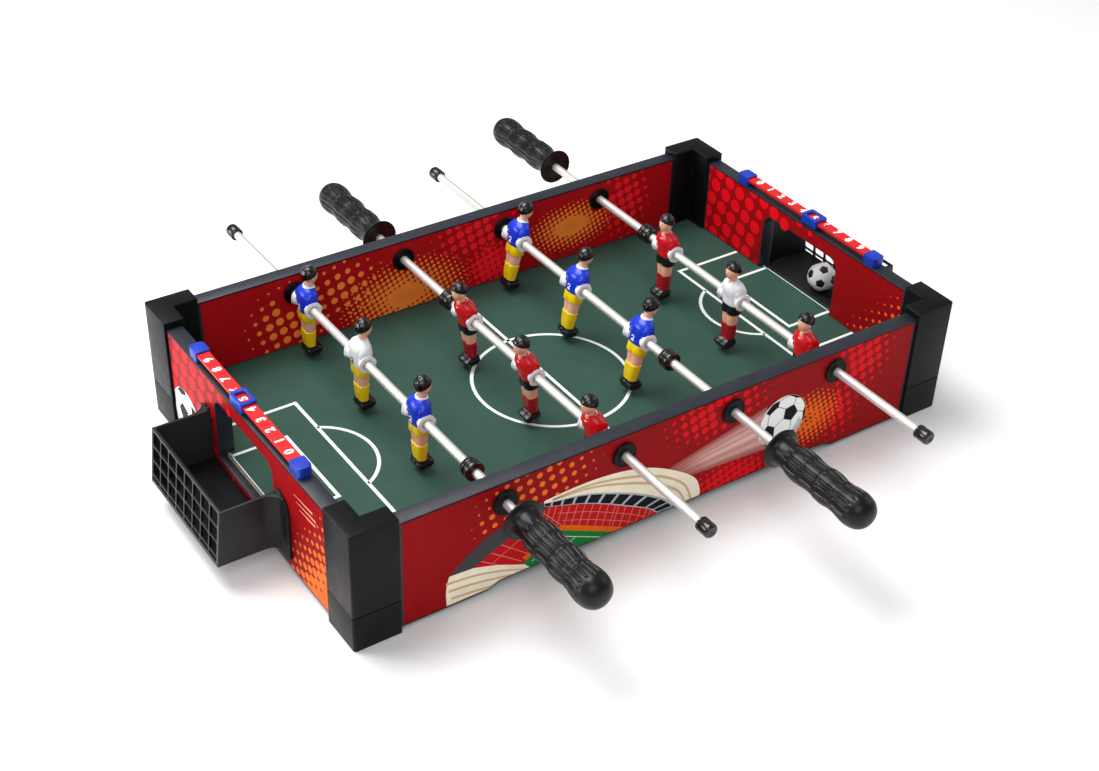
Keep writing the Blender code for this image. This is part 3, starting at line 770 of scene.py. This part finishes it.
def build_end_wall(name, side):
    x0, x1 = side * INNER_X, side * OUTER_X
    half = HALF_W - OVERHANG - WALL_T - 0.0006
    bm = carve(fresh(add_box, (x0, -half, WALL_Z0), (x1, half, WALL_Z1)), fresh(
        add_box, (x0 - side * 0.001, -HALF_W, FIELD_Z0 - GAP),
        (x0 + side * GROOVE, HALF_W, FIELD_Z1 + GAP)))
    bm = carve(bm, fresh(add_prism, mouth_outline(), 0, x0 - side * 0.002, x1 + side * 0.002))
    soften(bm, 0.0005, 2, 40.0)
    publish(name + "_board", bm, ["edge"], "table", [name])
    arch = [(u * 1000, v * 1000) for u, v in mouth_outline(RIM) if v > 0.03]
    for inner in (False, True):
        art = end_art(inner)
        foot = FOOT_V if inner else 23.5
        g = (GOAL_HALF + RIM) * 1000
        for colour, layer, top in BASES:
            art.parts.append((colour, layer, [(g, foot)] + arch + [
                (-g, foot), (-END_U, foot), (-END_U, top), (END_U, top), (END_U, foot)]))
        if inner:
            art.build(name + "_inner_print",
                      lambda u, v, h: (side * (INNER_X * 1000 - h), side * u, v), (-side, 0, 0))
        else:
            art.parts.append(("red", 1, [(-END_U, 4.4), (END_U, 4.4), (END_U, foot),
                                         (-END_U, foot)]))
            art.build(name + "_outer_print",
                      lambda u, v, h: (side * (OUTER_X * 1000 + h), -side * u, v), (side, 0, 0))


def corner_piece(name, node, sx, sy, z0, z1, slot_z0, slot_z1):
    arm_x, arm_y = HALF_L - POST_ARM, HALF_W - POST_ARM
    in_x, in_y = HALF_L - POST_T, HALF_W - POST_T
    r = 0.0022
    outer = [(HALF_L - r + r * cos(a), HALF_W - r + r * sin(a))
             for a in [radians(90 - 15 * i) for i in range(7)]]
    pts = [(arm_x, HALF_W)] + outer + [(HALF_L, arm_y), (in_x, arm_y), (in_x, in_y),
                                      (arm_x, in_y)]
    bm = fresh(add_prism, [(sx * x, sy * y) for x, y in pts], 2, z0, z1)
    x_in, x_out = HALF_L - OVERHANG - WALL_T - GAP, HALF_L - OVERHANG + GAP
    y_in, y_out = HALF_W - OVERHANG - WALL_T - GAP, HALF_W - OVERHANG + GAP

    def slot(x0, x1, y0, y1):
        return fresh(add_box, (sx * x0, sy * y0, slot_z0), (sx * x1, sy * y1, slot_z1))
    bm = carve(bm, slot(0.2, x_out - GROOVE, y_in, y_out))
    bm = carve(bm, slot(x_in, x_out, 0.1, y_in + 0.0004))
    soften(bm, 0.0007, 3, 40.0)
    publish(name, bm, ["black"], "table", [node], 30.0)


def build_corners():
    for x_name, sx in (("left", -1), ("right", 1)):
        for y_name, sy in (("near", -1), ("far", 1)):
            tag = f"{y_name}_{x_name}"
            corner_piece(f"post_{tag}", f"corner_post_{tag}", sx, sy, POST_Z0, POST_Z1, 0.02,
                         WALL_Z1 + GAP)
            corner_piece(f"foot_{tag}", f"corner_foot_{tag}", sx, sy, 0.0, POST_Z0 - GAP,
                         0.003, 0.04)


# ---------------------------------------------------------------- goals and scores

def build_basket(side):
    tag = "left" if side < 0 else "right"
    back = HALF_L - OVERHANG + GAP
    inner = BASKET_HALF - BASKET_T
    lean = (BASKET_X_LOW - BASKET_X_TOP) / (BASKET_Z1 - BASKET_Z0)

    def wedge(x0, inset, half, z0, z1):
        """Box whose outer face leans out towards its foot."""
        return fresh(add_prism, [(side * x, z) for x, z in (
            (x0, z0), (BASKET_X_TOP - inset + lean * (BASKET_Z1 - z0), z0),
            (BASKET_X_TOP - inset + lean * (BASKET_Z1 - z1), z1), (x0, z1))], 1, -half, half)
    flange = rounded_rect(-0.068, 0.068, 0.0105, 0.064, (0.006, 0.014, 0.014, 0.006), 8)
    bm = fresh(add_prism, flange, 0, side * back, side * (back + 0.0022))
    # concave flare where the box leaves the flange
    bend = [(0.0630 - 0.0090 * sin(radians(9 * i)), 0.0022 + 0.0115 * (1 - cos(radians(9 * i))))
            for i in range(11)]
    plan = [(back + 0.0005, -0.0630)] + [(back + t, -y) for y, t in bend]
    plan += [(back + t, y) for y, t in reversed(bend)] + [(back + 0.0005, 0.0630)]
    bm = carve(bm, fresh(add_prism, [(side * x, y) for x, y in plan], 2, BASKET_Z0, BASKET_Z1),
               "UNION")
    bm = carve(bm, wedge(back + 0.0005, 0.0, BASKET_HALF, BASKET_Z0, BASKET_Z1), "UNION")
    bm = carve(bm, wedge(back - 0.003, BASKET_T, inner, BASKET_Z0 + 0.0025, 0.09))
    step = 2 * inner / 8
    cells = bmesh.new()
    for col in range(8):
        y0 = -inner + col * step + 0.00065
        for z0, z1 in ((0.0490, 0.0602), (0.0370, 0.0480), (0.0250, 0.0360), (0.0208, 0.0240)):
            r = 0.0016 if z1 - z0 > 0.008 else 0.0010
            shape = rounded_rect(y0, y0 + step - 0.0013, z0, z1, (r, r, r, r), 3)
            add_prism(cells, shape, 0, side * (BASKET_X_TOP - BASKET_T - 0.001),
                      side * (BASKET_X_LOW + 0.001))
    bm = carve(bm, cells)
    soften(bm, 0.00025, 2, 40.0)
    publish(f"basket_{tag}", bm, ["basket"], "table", [f"goal_basket_{tag}"],
            32.0)


def digit_mesh(text, height):
    curve = bpy.data.curves.new("digit", "FONT")
    curve.body, curve.align_x, curve.align_y = text, "CENTER", "CENTER"
    curve.size, curve.offset = height * 1.34, height * 0.055
    obj = link("digit", curve)
    graph = bpy.context.evaluated_depsgraph_get()
    mesh = bpy.data.meshes.new_from_object(obj.evaluated_get(graph))
    bpy.data.objects.remove(obj, do_unlink=True)
    bpy.data.curves.remove(curve)
    return mesh


def build_score(side):
    tag = "left" if side < 0 else "right"
    strip = rounded_rect(side * BAR_X0, side * BAR_X1, -0.073, 0.073, (0.001,) * 4, 3)
    bm = fresh(add_prism, strip, 2, BAR_Z0, BAR_Z1)
    soften(bm, 0.0003, 2)
    publish(f"score_bar_strip_{tag}", bm, ["score_bar"], "table",
            [f"score_bar_{tag}"])
    bm = bmesh.new()
    turn = Matrix.Rotation(radians(90 if side < 0 else -90), 4, "Z")
    for k in range(10):
        mesh = digit_mesh(str(k), 0.0066)
        place = Matrix.Translation((side * (BAR_X0 + BAR_X1) / 2, -side * (k - 4.5) * PITCH,
                                    BAR_Z1 + 0.00006)) @ turn
        mesh.transform(place)
        bm.from_mesh(mesh)
        bpy.data.meshes.remove(mesh)
    for face in bm.faces:
        face.normal_update()
        if face.normal.z < 0:
            face.normal_flip()
    publish(f"score_digits_{tag}", bm, ["digit"], "table", flat=True)
    groove = ((side * (BAR_X0 - GAP), -0.0733, BAR_Z0 - GAP),
              (side * (BAR_X1 + GAP), 0.0733, BAR_Z1 + GAP))
    for y_name, sy in (("near", -1), ("far", 1)):
        outline = rounded_rect(0.2415, 0.2525, 0.0703, 0.0830, (0.0008, 0.003, 0.003, 0.0008), 5)
        bm = carve(fresh(add_prism, [(side * x, sy * y) for x, y in outline], 2, WALL_Z1 + GAP,
                         0.0983), fresh(add_box, *groove))
        soften(bm, 0.0006, 3, 40.0)
        publish(f"score_holder_{tag}_{y_name}", bm, ["score_blue"], "table",
                [f"score_bar_holder_{tag}_{y_name}"])
    y = -side * 0.5 * PITCH
    block = rounded_rect(side * SLIDER_X0, side * SLIDER_X1, y - 0.009, y + 0.009,
                         (0.0014,) * 4, 4)
    window = rounded_rect(side * 0.2432, side * 0.2508, y - 0.0058, y + 0.0058, (0.001,) * 4, 3)
    bm = carve(fresh(add_prism, block, 2, SLIDER_Z0, SLIDER_Z1), fresh(add_box, *groove))
    bm = carve(bm, fresh(add_prism, window, 2, BAR_Z1 - 0.001, SLIDER_Z1 + 0.001))
    soften(bm, 0.0005, 3, 40.0)
    publish(f"score_counter_{tag}", bm, ["score_blue"], f"score_slider_{tag}",
            [f"score_slider_{tag}"])


# ---------------------------------------------------------------- rods

def handle_profile(g):
    """Dished guard, smooth neck, waisted grip and round knob."""
    side = [(0.0, 3.7), (0.0, 6.0), (0.5, 9.0), (0.35, 12.6), (0.0, 14.2), (0.3, 14.9),
            (0.9, 15.0), (1.5, 14.7), (1.9, 13.6), (2.3, 12.2), (3.1, 11.0), (4.6, 10.3),
            (7.0, 10.0), (11.0, 10.0), (14.0, 10.2)]
    waves = [(16.0, 10.9), (19.0, 11.7), (23.0, 12.1), (27.0, 12.0), (31.0, 11.6), (35.0, 11.2),
             (39.0, 11.1), (43.0, 11.5), (47.0, 12.1), (50.5, 12.3), (54.0, 12.0), (57.5, 11.4),
             (61.0, 11.2), (64.5, 11.6), (68.5, 12.3), (72.5, 12.75), (76.0, 12.8)]
    knob = [(79.0, 12.4), (81.8, 11.6), (84.2, 10.3), (86.2, 8.4), (87.5, 6.2), (88.2, 4.0),
            (88.5, 1.8), (88.5, 0.4)]
    bore = [(60.0, 0.4), (60.0, 3.7)]
    return [(g + t * MM, r * MM) for t, r in
            side + smooth_path(waves, 6) + smooth_path(knob, 3) + bore]


ZONES = ((15.0, 29.0), (30.6, 45.0), (46.6, 60.6), (62.2, 76.5))
FLUTES = 17


def flute(t, angle):
    """Depth in mm of the finger flutes at t mm along the handle."""
    across = cos(FLUTES * angle)
    if across < 0.0:
        return 0.0
    wide = sqrt(min(1.0, across * 1.1))
    for a, b in ZONES:
        if a < t < b:
            near = min(t - a, b - t) / 1.8
            return 1.1 * wide * sqrt(min(1.0, near))
    return 0.0


def seam(t):
    """Raised bead between the rows of flutes."""
    return sum(0.30 * exp(-((t - c) / 0.5) ** 2) for c in (29.8, 45.8, 61.4))


def build_rod(rod):
    name, x, hand, cap_end, grip, ring, players, lean = rod
    body = f"{name}_rod"

    def along(profile):
        return [(hand * y, r) for y, r in profile]

    def piece(label, profile, mat, slot, node, angle=38.0, where=body, **options):
        publish(label, fresh(turned, profile, x, **options), [mat], where, [node], angle)
    start, end, r = -(cap_end - 0.0023), grip + 0.0597, ROD_R
    piece(f"steel_rod_{name}", along([
        (start, 0.0024), (start, r - 0.0003), (start + 0.0003, r), (end - 0.0003, r),
        (end, r - 0.0003), (end, 0.0024)]), "chrome", "rod_steel", f"rod_{name}", seg=48)

    cap_in = cap_end - 0.0115
    piece(f"rod_end_cap_{name}", along([
        (-cap_in, 0.0036), (-cap_in, 0.0046), (-cap_in - 0.0005, 0.0051),
        (-cap_in - 0.0016, 0.0052), (-cap_in - 0.0019, 0.0049), (-cap_in - 0.0023, 0.0052)]
        + [(-cap_end + 0.0018 * (1 - sin(radians(a))), 0.0034 + 0.0018 * cos(radians(a)))
           for a in range(0, 91, 15)]
        + [(-cap_end, 0.0022), (-cap_end + 0.0004, 0.0018), (-cap_end + 0.0004, 0.0006),
           (-cap_in - 0.0095, 0.0006), (-cap_in - 0.0095, 0.0036)]),
        "gloss", "gloss_black_plastic", f"rod_cap_{name}")
    stop = [(-6.0, 3.6), (-6.0, 5.0), (-5.6, 5.6), (-5.7, 6.3), (-5.1, 7.1), (-4.2, 7.35),
            (-2.4, 7.4), (-1.6, 7.2), (-1.1, 6.6), (-0.5, 6.5), (0.1, 6.6), (0.6, 7.1),
            (1.6, 7.2), (3.4, 6.9), (4.8, 6.2), (5.6, 5.4), (6.0, 4.6), (6.0, 3.6)]
    piece(f"rubber_stop_{name}", along([(ring - t * MM, r * MM) for t, r in stop]), "gloss",
          "gloss_black_plastic", f"stop_ring_{name}", 50.0, seg=48)

    def grip_shape(y, a, r):
        t = (hand * y - grip) * 1000
        if r < 0.0093 or t < 13:
            return r
        return r - flute(t, a) * MM + seam(t) * MM
    piece(f"grip_{name}", along(handle_profile(grip)), "grip", "handle_plastic",
          f"handle_{name}", 60.0, seg=FLUTES * 12, shape=grip_shape)
    face_in, face_out = INNER_Y - GAP, OUTER_Y + GAP
    for y_name, sy in (("near", -1), ("far", 1)):
        profile = [(0.1394, 0.0036), (0.1394, 0.0052), (0.1397, 0.0056), (0.1397, 0.0080),
                   (0.1394, 0.0084), (0.1394, 0.0091), (0.1398, 0.0095), (face_in, 0.0095),
                   (face_in, 0.0054), (face_out, 0.0054), (face_out, 0.0095),
                   (0.1548, 0.0095), (0.1555, 0.0090), (0.1555, 0.0084), (0.1550, 0.0080),
                   (0.1550, 0.0058), (0.1555, 0.0052), (0.1555, 0.0036)]
        piece(f"bushing_{name}_{y_name}", [(sy * y, r) for y, r in profile], "black",
              "black_plastic", f"rod_bushing_{name}_{y_name}", where="table", seg=44)
    for player, y in players:
        build_player(player, x, y, body, lean)


# ---------------------------------------------------------------- players

def oval(z, cx, hx, hy, power=2.4, n=32, groove=0.0):
    """Rounded section at height z; groove sinks the middle of its front and back."""
    ring = []
    for a in circle(n):
        c, s = cos(a), sin(a)
        k = (abs(c) ** power + abs(s) ** power) ** (-1 / power)
        px, py = hx * k * c, hy * k * s
        px *= 1 - groove * exp(-(py / 1.3) ** 2)
        ring.append((cx + px, py, z))
    return ring


def shell(bm, rings, mat, closed=False):
    """Loft of rings given in mm."""
    add_loft(bm, [[(x * MM, y * MM, z * MM) for x, y, z in ring] for ring in rings], closed,
             mat=mat)


def ellipsoid(bm, centre, radii, mat, tilt=0.0, n=20, rows=12, change=None):
    """Closed rounded form; change(unit vector) may return a new point."""
    turn = Matrix.Rotation(radians(tilt), 3, "X")
    rings = []
    for j in range(1, rows):
        b = pi * j / rows - pi / 2
        ring = []
        for a in circle(n):
            d = Vector((cos(b) * cos(a), cos(b) * sin(a), sin(b)))
            p = Vector((d.x * radii[0], d.y * radii[1], d.z * radii[2]))
            p = change(d, p) if change else p
            ring.append(Vector(centre) + turn @ p)
        rings.append(ring)
    shell(bm, rings, mat)


def cuff(bm, side, mat):
    """Glove that flares round the rod."""
    profile = [(6.0, 4.6), (7.2, 5.5), (8.6, 5.7), (9.6, 5.8), (10.4, 6.1), (11.1, 6.6),
               (11.6, 6.7), (11.8, 6.2), (11.7, 5.0), (11.5, 3.7), (6.0, 3.7)]
    rings = []
    for y, r in profile:
        ring = []
        for a in circle(28):
            q = r + (0.13 * (r - 5) * (1 + sin(6 * a + side)) if r > 5 else 0.0)
            ring.append((q * sin(a) * 1.02, side * y, q * cos(a)))
        rings.append(ring)
    shell(bm, rings, mat, closed=True)


def face_shape(d, p):
    """Plain doll face: brow, nose, cheeks and chin on the +X side."""
    if d.x > 0.2:
        p.x += 0.95 * exp(-(d.y / 0.16) ** 2 - ((d.z + 0.10) / 0.20) ** 2)
        p.x += 0.35 * exp(-(d.y / 0.5) ** 2 - ((d.z - 0.28) / 0.12) ** 2)
        p.x -= 0.40 * exp(-((abs(d.y) - 0.30) / 0.16) ** 2 - ((d.z - 0.08) / 0.12) ** 2)
        p.x += 0.55 * exp(-(d.y / 0.30) ** 2 - ((d.z + 0.72) / 0.20) ** 2)
        p.x += 0.20 * exp(-(d.y / 0.26) ** 2 - ((d.z + 0.42) / 0.08) ** 2)
    jaw = max(0.0, -d.z)
    p.y *= 1 - 0.18 * jaw
    return p


def hair_shape(seed):
    """Thick swept hair: low on the nape, high over the brow."""
    def change(d, p):
        line = d.z - 0.40 * d.x + 0.06
        lift = min(1.0, max(0.0, 1 + line * 7))
        strands = 0.45 * noise.noise(Vector((d.x * 4.0, d.y * 9.0, d.z * 5.0 + seed)))
        strands += 0.30 * sin(17 * d.y + 5 * d.x + 2 * sin(6 * d.z))
        grow = (0.84 + 0.25 * lift) * (1 + 0.055 * strands * lift)
        drop = 1.5 * max(0.0, -d.x) * max(0.0, -d.z) * lift
        return Vector((p.x * grow + drop * 0.5, p.y * grow, p.z * grow - drop))
    return change


# material slots of a figure
JERSEY, SHORT, SKIN, SOCK, SHOE, HAIR, WHITE, EYE = range(8)


def add_body(bm):
    """Boxy shoes in one block, legs, shorts, shirt, shoulders and gloves; sizes in mm."""
    shell(bm, [oval(z, (x0 + x1) / 2, (x1 - x0) / 2, half, 7.0, 64, groove)
               for z, x0, x1, half, groove in (
        (-44.3, -1.6, 6.2, 4.6, 0.0), (-43.6, -2.6, 7.2, 5.4, 0.0),
        (-42.2, -3.4, 8.2, 6.1, 0.0), (-40.8, -4.2, 9.2, 6.6, 0.03),
        (-38.6, -4.3, 9.3, 6.7, 0.04), (-38.1, -4.1, 9.0, 6.5, 0.05),
        (-37.9, -3.8, 8.6, 6.2, 0.06), (-37.5, -3.7, 7.4, 6.1, 0.10),
        (-36.8, -3.6, 5.6, 6.0, 0.10), (-36.0, -3.5, 4.8, 5.9, 0.08))], SHOE)
    # height, centre, half depth, half width, corner power, groove
    for mat, sections in (
        (SOCK, ((-37.6, 0.7, 3.9, 5.6, 2.6, 0.10), (-36, 0.6, 3.9, 5.6, 2.6, 0.16),
                (-32, 0.3, 4.4, 6.1, 2.6, 0.20), (-27.0, 0.4, 4.8, 6.6, 2.6, 0.20),
                (-24.0, 0.4, 4.8, 6.7, 2.6, 0.18), (-22.8, 0.4, 4.9, 6.8, 2.6, 0.16),
                (-22.4, 0.4, 4.5, 6.4, 2.6, 0.16))),
        (SKIN, ((-24, 0.4, 4.2, 6.1, 2.6, 0.24), (-21, 0.5, 4.5, 6.4, 2.6, 0.26),
                (-18, 0.6, 4.8, 6.7, 2.6, 0.28), (-14, 0.4, 5.0, 7.0, 2.6, 0.28),
                (-11, 0.4, 5.0, 7.0, 2.6, 0.2))),
        (SHORT, ((-12.6, 0.4, 5.3, 7.5, 2.8, 0.28), (-12.9, 0.4, 5.8, 8.0, 2.8, 0.28),
                 (-12.2, 0.4, 6.1, 8.3, 2.8, 0.26), (-9, 0.4, 6.0, 8.2, 2.8, 0.14),
                 (-6, 0.4, 5.9, 8.1, 2.8, 0.05), (-3, 0.4, 5.6, 7.8, 2.6, 0.0),
                 (0, 0.4, 5.2, 7.4, 2.6, 0.0))),
        (JERSEY, ((-4.6, 0.4, 5.4, 7.5, 2.6, 0.0), (-5.0, 0.4, 6.0, 8.1, 2.6, 0.0),
                  (-4.2, 0.4, 6.2, 8.4, 2.6, 0.0), (-1.5, 0.3, 6.3, 8.6, 2.5, 0.0),
                  (1.5, 0.3, 6.5, 9.1, 2.4, 0.0), (4.6, 0.6, 7.0, 9.8, 2.3, 0.0),
                  (7.6, 0.8, 7.3, 10.3, 2.2, 0.0), (10.2, 0.9, 7.0, 10.4, 2.1, 0.0),
                  (12.3, 1.2, 6.1, 9.4, 2.1, 0.0), (14.0, 1.7, 4.9, 7.3, 2.1, 0.0),
                  (15.2, 2.3, 4.0, 5.4, 2.0, 0.0), (15.8, 2.6, 3.5, 4.2, 2.0, 0.0)))):
        shell(bm, [oval(*section[:5], groove=section[5]) for section in sections], mat)
    for side in (-1, 1):
        ellipsoid(bm, (0.5, side * 8.0, 6.9), (5.4, 3.2, 5.7), JERSEY, side * 8)
        ellipsoid(bm, (0.3, side * 7.2, 2.4), (5.6, 2.5, 4.6), JERSEY, side * 4)
        cuff(bm, side, WHITE)
    ellipsoid(bm, (3.0, 0, 17.8), (3.3, 3.2, 4.6), SKIN)


def add_collar(bm, blue, keeper):
    """Round collar in blue, open V in red, and a plain neckline on a goalkeeper."""
    if blue and not keeper:
        shell(bm, [[(2.7 + (3.3 + grow) * cos(a), (3.7 + grow) * sin(a), z + 0.5 * -cos(a))
                    for a in circle(28)]
                   for z, grow in ((14.6, 1.4), (16.0, 1.1), (16.7, 0.6), (16.4, 0.0),
                                   (14.9, 0.0))], WHITE, closed=True)
    elif not keeper:
        neck = []
        for w, lift in ((1.25, 0.0), (1.05, 0.45), (0.80, 0.45), (0.70, 0.0)):
            ring = []
            for a in circle(28):
                v = max(0.0, cos(a)) ** 1.6
                px = 2.5 + (3.3 + lift) * cos(a) * (0.85 + 0.28 * w) + 1.1 * v
                ring.append((px, (3.4 + lift) * sin(a) * (0.75 + 0.3 * w),
                             16.1 + lift * 0.7 - 0.7 * w - 4.6 * v))
            neck.append(ring)
        shell(bm, neck, WHITE, closed=True)
        ellipsoid(bm, (5.3, 0, 14.0), (1.9, 2.2, 3.1), SKIN)
    else:
        ellipsoid(bm, (4.8, 0, 14.4), (1.9, 2.4, 2.4), SKIN)


def add_head(bm, seed):
    ellipsoid(bm, (4.3, 0, 23.7), (5.6, 5.1, 6.9), SKIN, n=40, rows=30, change=face_shape)
    for side in (-1, 1):
        ellipsoid(bm, (4.2, side * 5.05, 22.8), (1.0, 0.5, 1.5), SKIN, n=12, rows=8)
        ellipsoid(bm, (9.05, side * 1.5, 24.2), (0.35, 0.55, 0.32), EYE, n=12, rows=8)
    ellipsoid(bm, (3.7, 0, 25.0), (6.0, 5.6, 6.3), HAIR, n=72, rows=40, change=hair_shape(seed))


def add_back_mark(bm, mat):
    """Small plain mark low on the back of the shirt."""
    path = smooth_path([(2.0, 3.4), (1.2, 4.6), (-0.4, 4.5), (-1.0, 3.2), (0.2, 1.9),
                        (1.7, 0.6), (-1.2, 0.6)], 4)
    path = [Vector((px * 0.95, pz * 0.95 - 2.9)) for px, pz in path]
    for a, b in zip(path, path[1:]):
        d = (b - a).normalized()
        across = Vector((-d.y, d.x)) * 0.42
        pts = [(-6.28 + 0.008 * q.x ** 2 - 0.04 * max(0, q.y), q.x, q.y)
               for q in (a + across, b + across, b - across, a - across)]
        front, rear = ([bm.verts.new(Vector((px + sunk, py, pz)) * MM) for px, py, pz in pts]
                       for sunk in (0.0, 0.6))
        bm.faces.new(front).material_index = mat
        for k in range(4):
            m = (k + 1) % 4
            bm.faces.new((front[k], front[m], rear[m], rear[k])).material_index = mat


def build_player(name, x, y, body, lean):
    """Figure about the rod axis, facing +X before it is turned."""
    blue = name.startswith("blue")
    keeper = "goalkeeper" in name
    jersey = "jersey_white" if keeper else ("jersey_blue" if blue else "jersey_red")
    kit = ("yellow", "yellow") if blue else ("short_black", "sock_red")
    mats = [jersey, kit[0], "skin", kit[1], "shoe", "hair", "glove", "eye"]
    bm = fresh(add_body)
    add_collar(bm, blue, keeper)
    add_head(bm, sum(ord(c) for c in name) % 17)
    if blue:
        add_back_mark(bm, EYE if keeper else WHITE)
    turn = Matrix.Rotation(radians(lean), 4, "Y")
    if not blue:
        turn = turn @ Matrix.Rotation(pi, 4, "Z")
    bmesh.ops.transform(bm, matrix=Matrix.Translation((x, y, ROD_Z)) @ turn, verts=bm.verts)
    publish(f"figure_{name}", bm, mats, body, [name], 50.0)


# ---------------------------------------------------------------- ball

def build_ball():
    """Truncated-icosahedron ball with sunk seams."""
    radius, centre = 0.0120, Vector((0.2685, -0.0035, 0.0328))
    corners = ico_corners()
    centres = [(a + b + c).normalized() for a, b, c in combinations(corners, 3)
               if max((a - b).length, (b - c).length, (a - c).length) < NEXT_CORNER]
    # centre and distance from the middle of each pentagon, then of each hexagon
    faces = [(v, 2.3274) for v in corners] + [(v, 2.2673) for v in centres]
    turn = Matrix.Rotation(0.9, 3, "X") @ Matrix.Rotation(0.5, 3, "Z")
    bm = bmesh.new()
    bmesh.ops.create_icosphere(bm, subdivisions=6, radius=1.0)
    for v in bm.verts:
        d = v.co.normalized()
        reach = sorted(((d.dot(n) / h, i) for i, (n, h) in enumerate(faces)), reverse=True)[:2]
        gap = (reach[0][0] - reach[1][0]) / reach[0][0]
        v.co = d * radius * (1 - 0.022 * exp(-(gap / 0.022) ** 2))
    for face in bm.faces:
        d = face.calc_center_median().normalized()
        best = max(range(32), key=lambda i: d.dot(faces[i][0]) / faces[i][1])
        face.material_index = 1 if best < len(corners) else 0
    bmesh.ops.transform(bm, matrix=Matrix.Translation(centre) @ turn.to_4x4(), verts=bm.verts)
    publish("football", bm, ["ball_white", "ball_black"], "ball", ["ball"], 80.0)


# ---------------------------------------------------------------- studio

CAMERA_AT, CAMERA_LENS = (-0.60602, -0.85370, 0.76409), 55.29
CAMERA_AZ, CAMERA_EL, CAMERA_ROLL = radians(-35.302), radians(35.404), radians(2.176)
# name, place, aim, size, power
LIGHTS = (("key", (-0.40, 0.60, 1.55), (0, 0, 0.03), 1.1, 32.0),
          ("front", (-1.0, -1.3, 1.5), (0, 0, 0.05), 1.2, 13.0),
          ("low_left", (-1.3, 0.7, 0.25), (-0.25, -0.15, 0.05), 0.7, 13.0),
          ("right", (1.5, -0.4, 1.0), (0, 0, 0.05), 1.0, 4.0))


def build_studio():
    mat = make("studio_floor", (246, 246, 247), 0.75, vary=0.01, scale=3.0, grain=300.0,
               bump=0.02)
    bm = fresh(bmesh.ops.create_grid, x_segments=8, y_segments=8, size=6.0)
    mesh = bpy.data.meshes.new("studio_floor")
    bm.to_mesh(mesh)
    bm.free()
    mesh.materials.append(mat)
    floor = link("studio_floor", mesh)
    floor.location.z = -0.0001
    world = bpy.data.worlds.new("studio")
    bpy.context.scene.world = world
    world.use_nodes = True
    back = world.node_tree.nodes["Background"]
    back.inputs["Color"].default_value = (1, 1, 1, 1)
    back.inputs["Strength"].default_value = 0.38
    for name, place, aim, size, power in LIGHTS:
        light = bpy.data.lights.new(name, "AREA")
        light.shape, light.size, light.energy = "SQUARE", size, power
        obj = link(name, light)
        obj.location = place
        obj.rotation_euler = (Vector(aim) - Vector(place)).to_track_quat("-Z", "Y").to_euler()
    data = bpy.data.cameras.new("view")
    data.lens, data.sensor_width, data.sensor_fit = CAMERA_LENS, 36.0, "HORIZONTAL"
    data.clip_start, data.clip_end = 0.05, 50.0
    az, el = CAMERA_AZ, CAMERA_EL
    back = Vector((sin(az) * cos(el), -cos(az) * cos(el), sin(el)))
    right = Vector((cos(az), sin(az), 0))
    up = back.cross(right)
    turn = Matrix((right, up, back)).transposed() @ Matrix.Rotation(CAMERA_ROLL, 3, "Z")
    camera = link("view", data)
    camera.matrix_world = Matrix.Translation(CAMERA_AT) @ turn.to_4x4()
    bpy.context.scene.camera = camera
    bpy.context.scene.view_settings.view_transform = "Standard"


build_field()
build_side_wall("side_wall_near", -1)
build_side_wall("side_wall_far", 1)
build_end_wall("end_wall_left", -1)
build_end_wall("end_wall_right", 1)
build_corners()
for direction in (-1, 1):
    build_basket(direction)
    build_score(direction)
for rod_data in RODS:
    build_rod(rod_data)
build_ball()
build_studio()
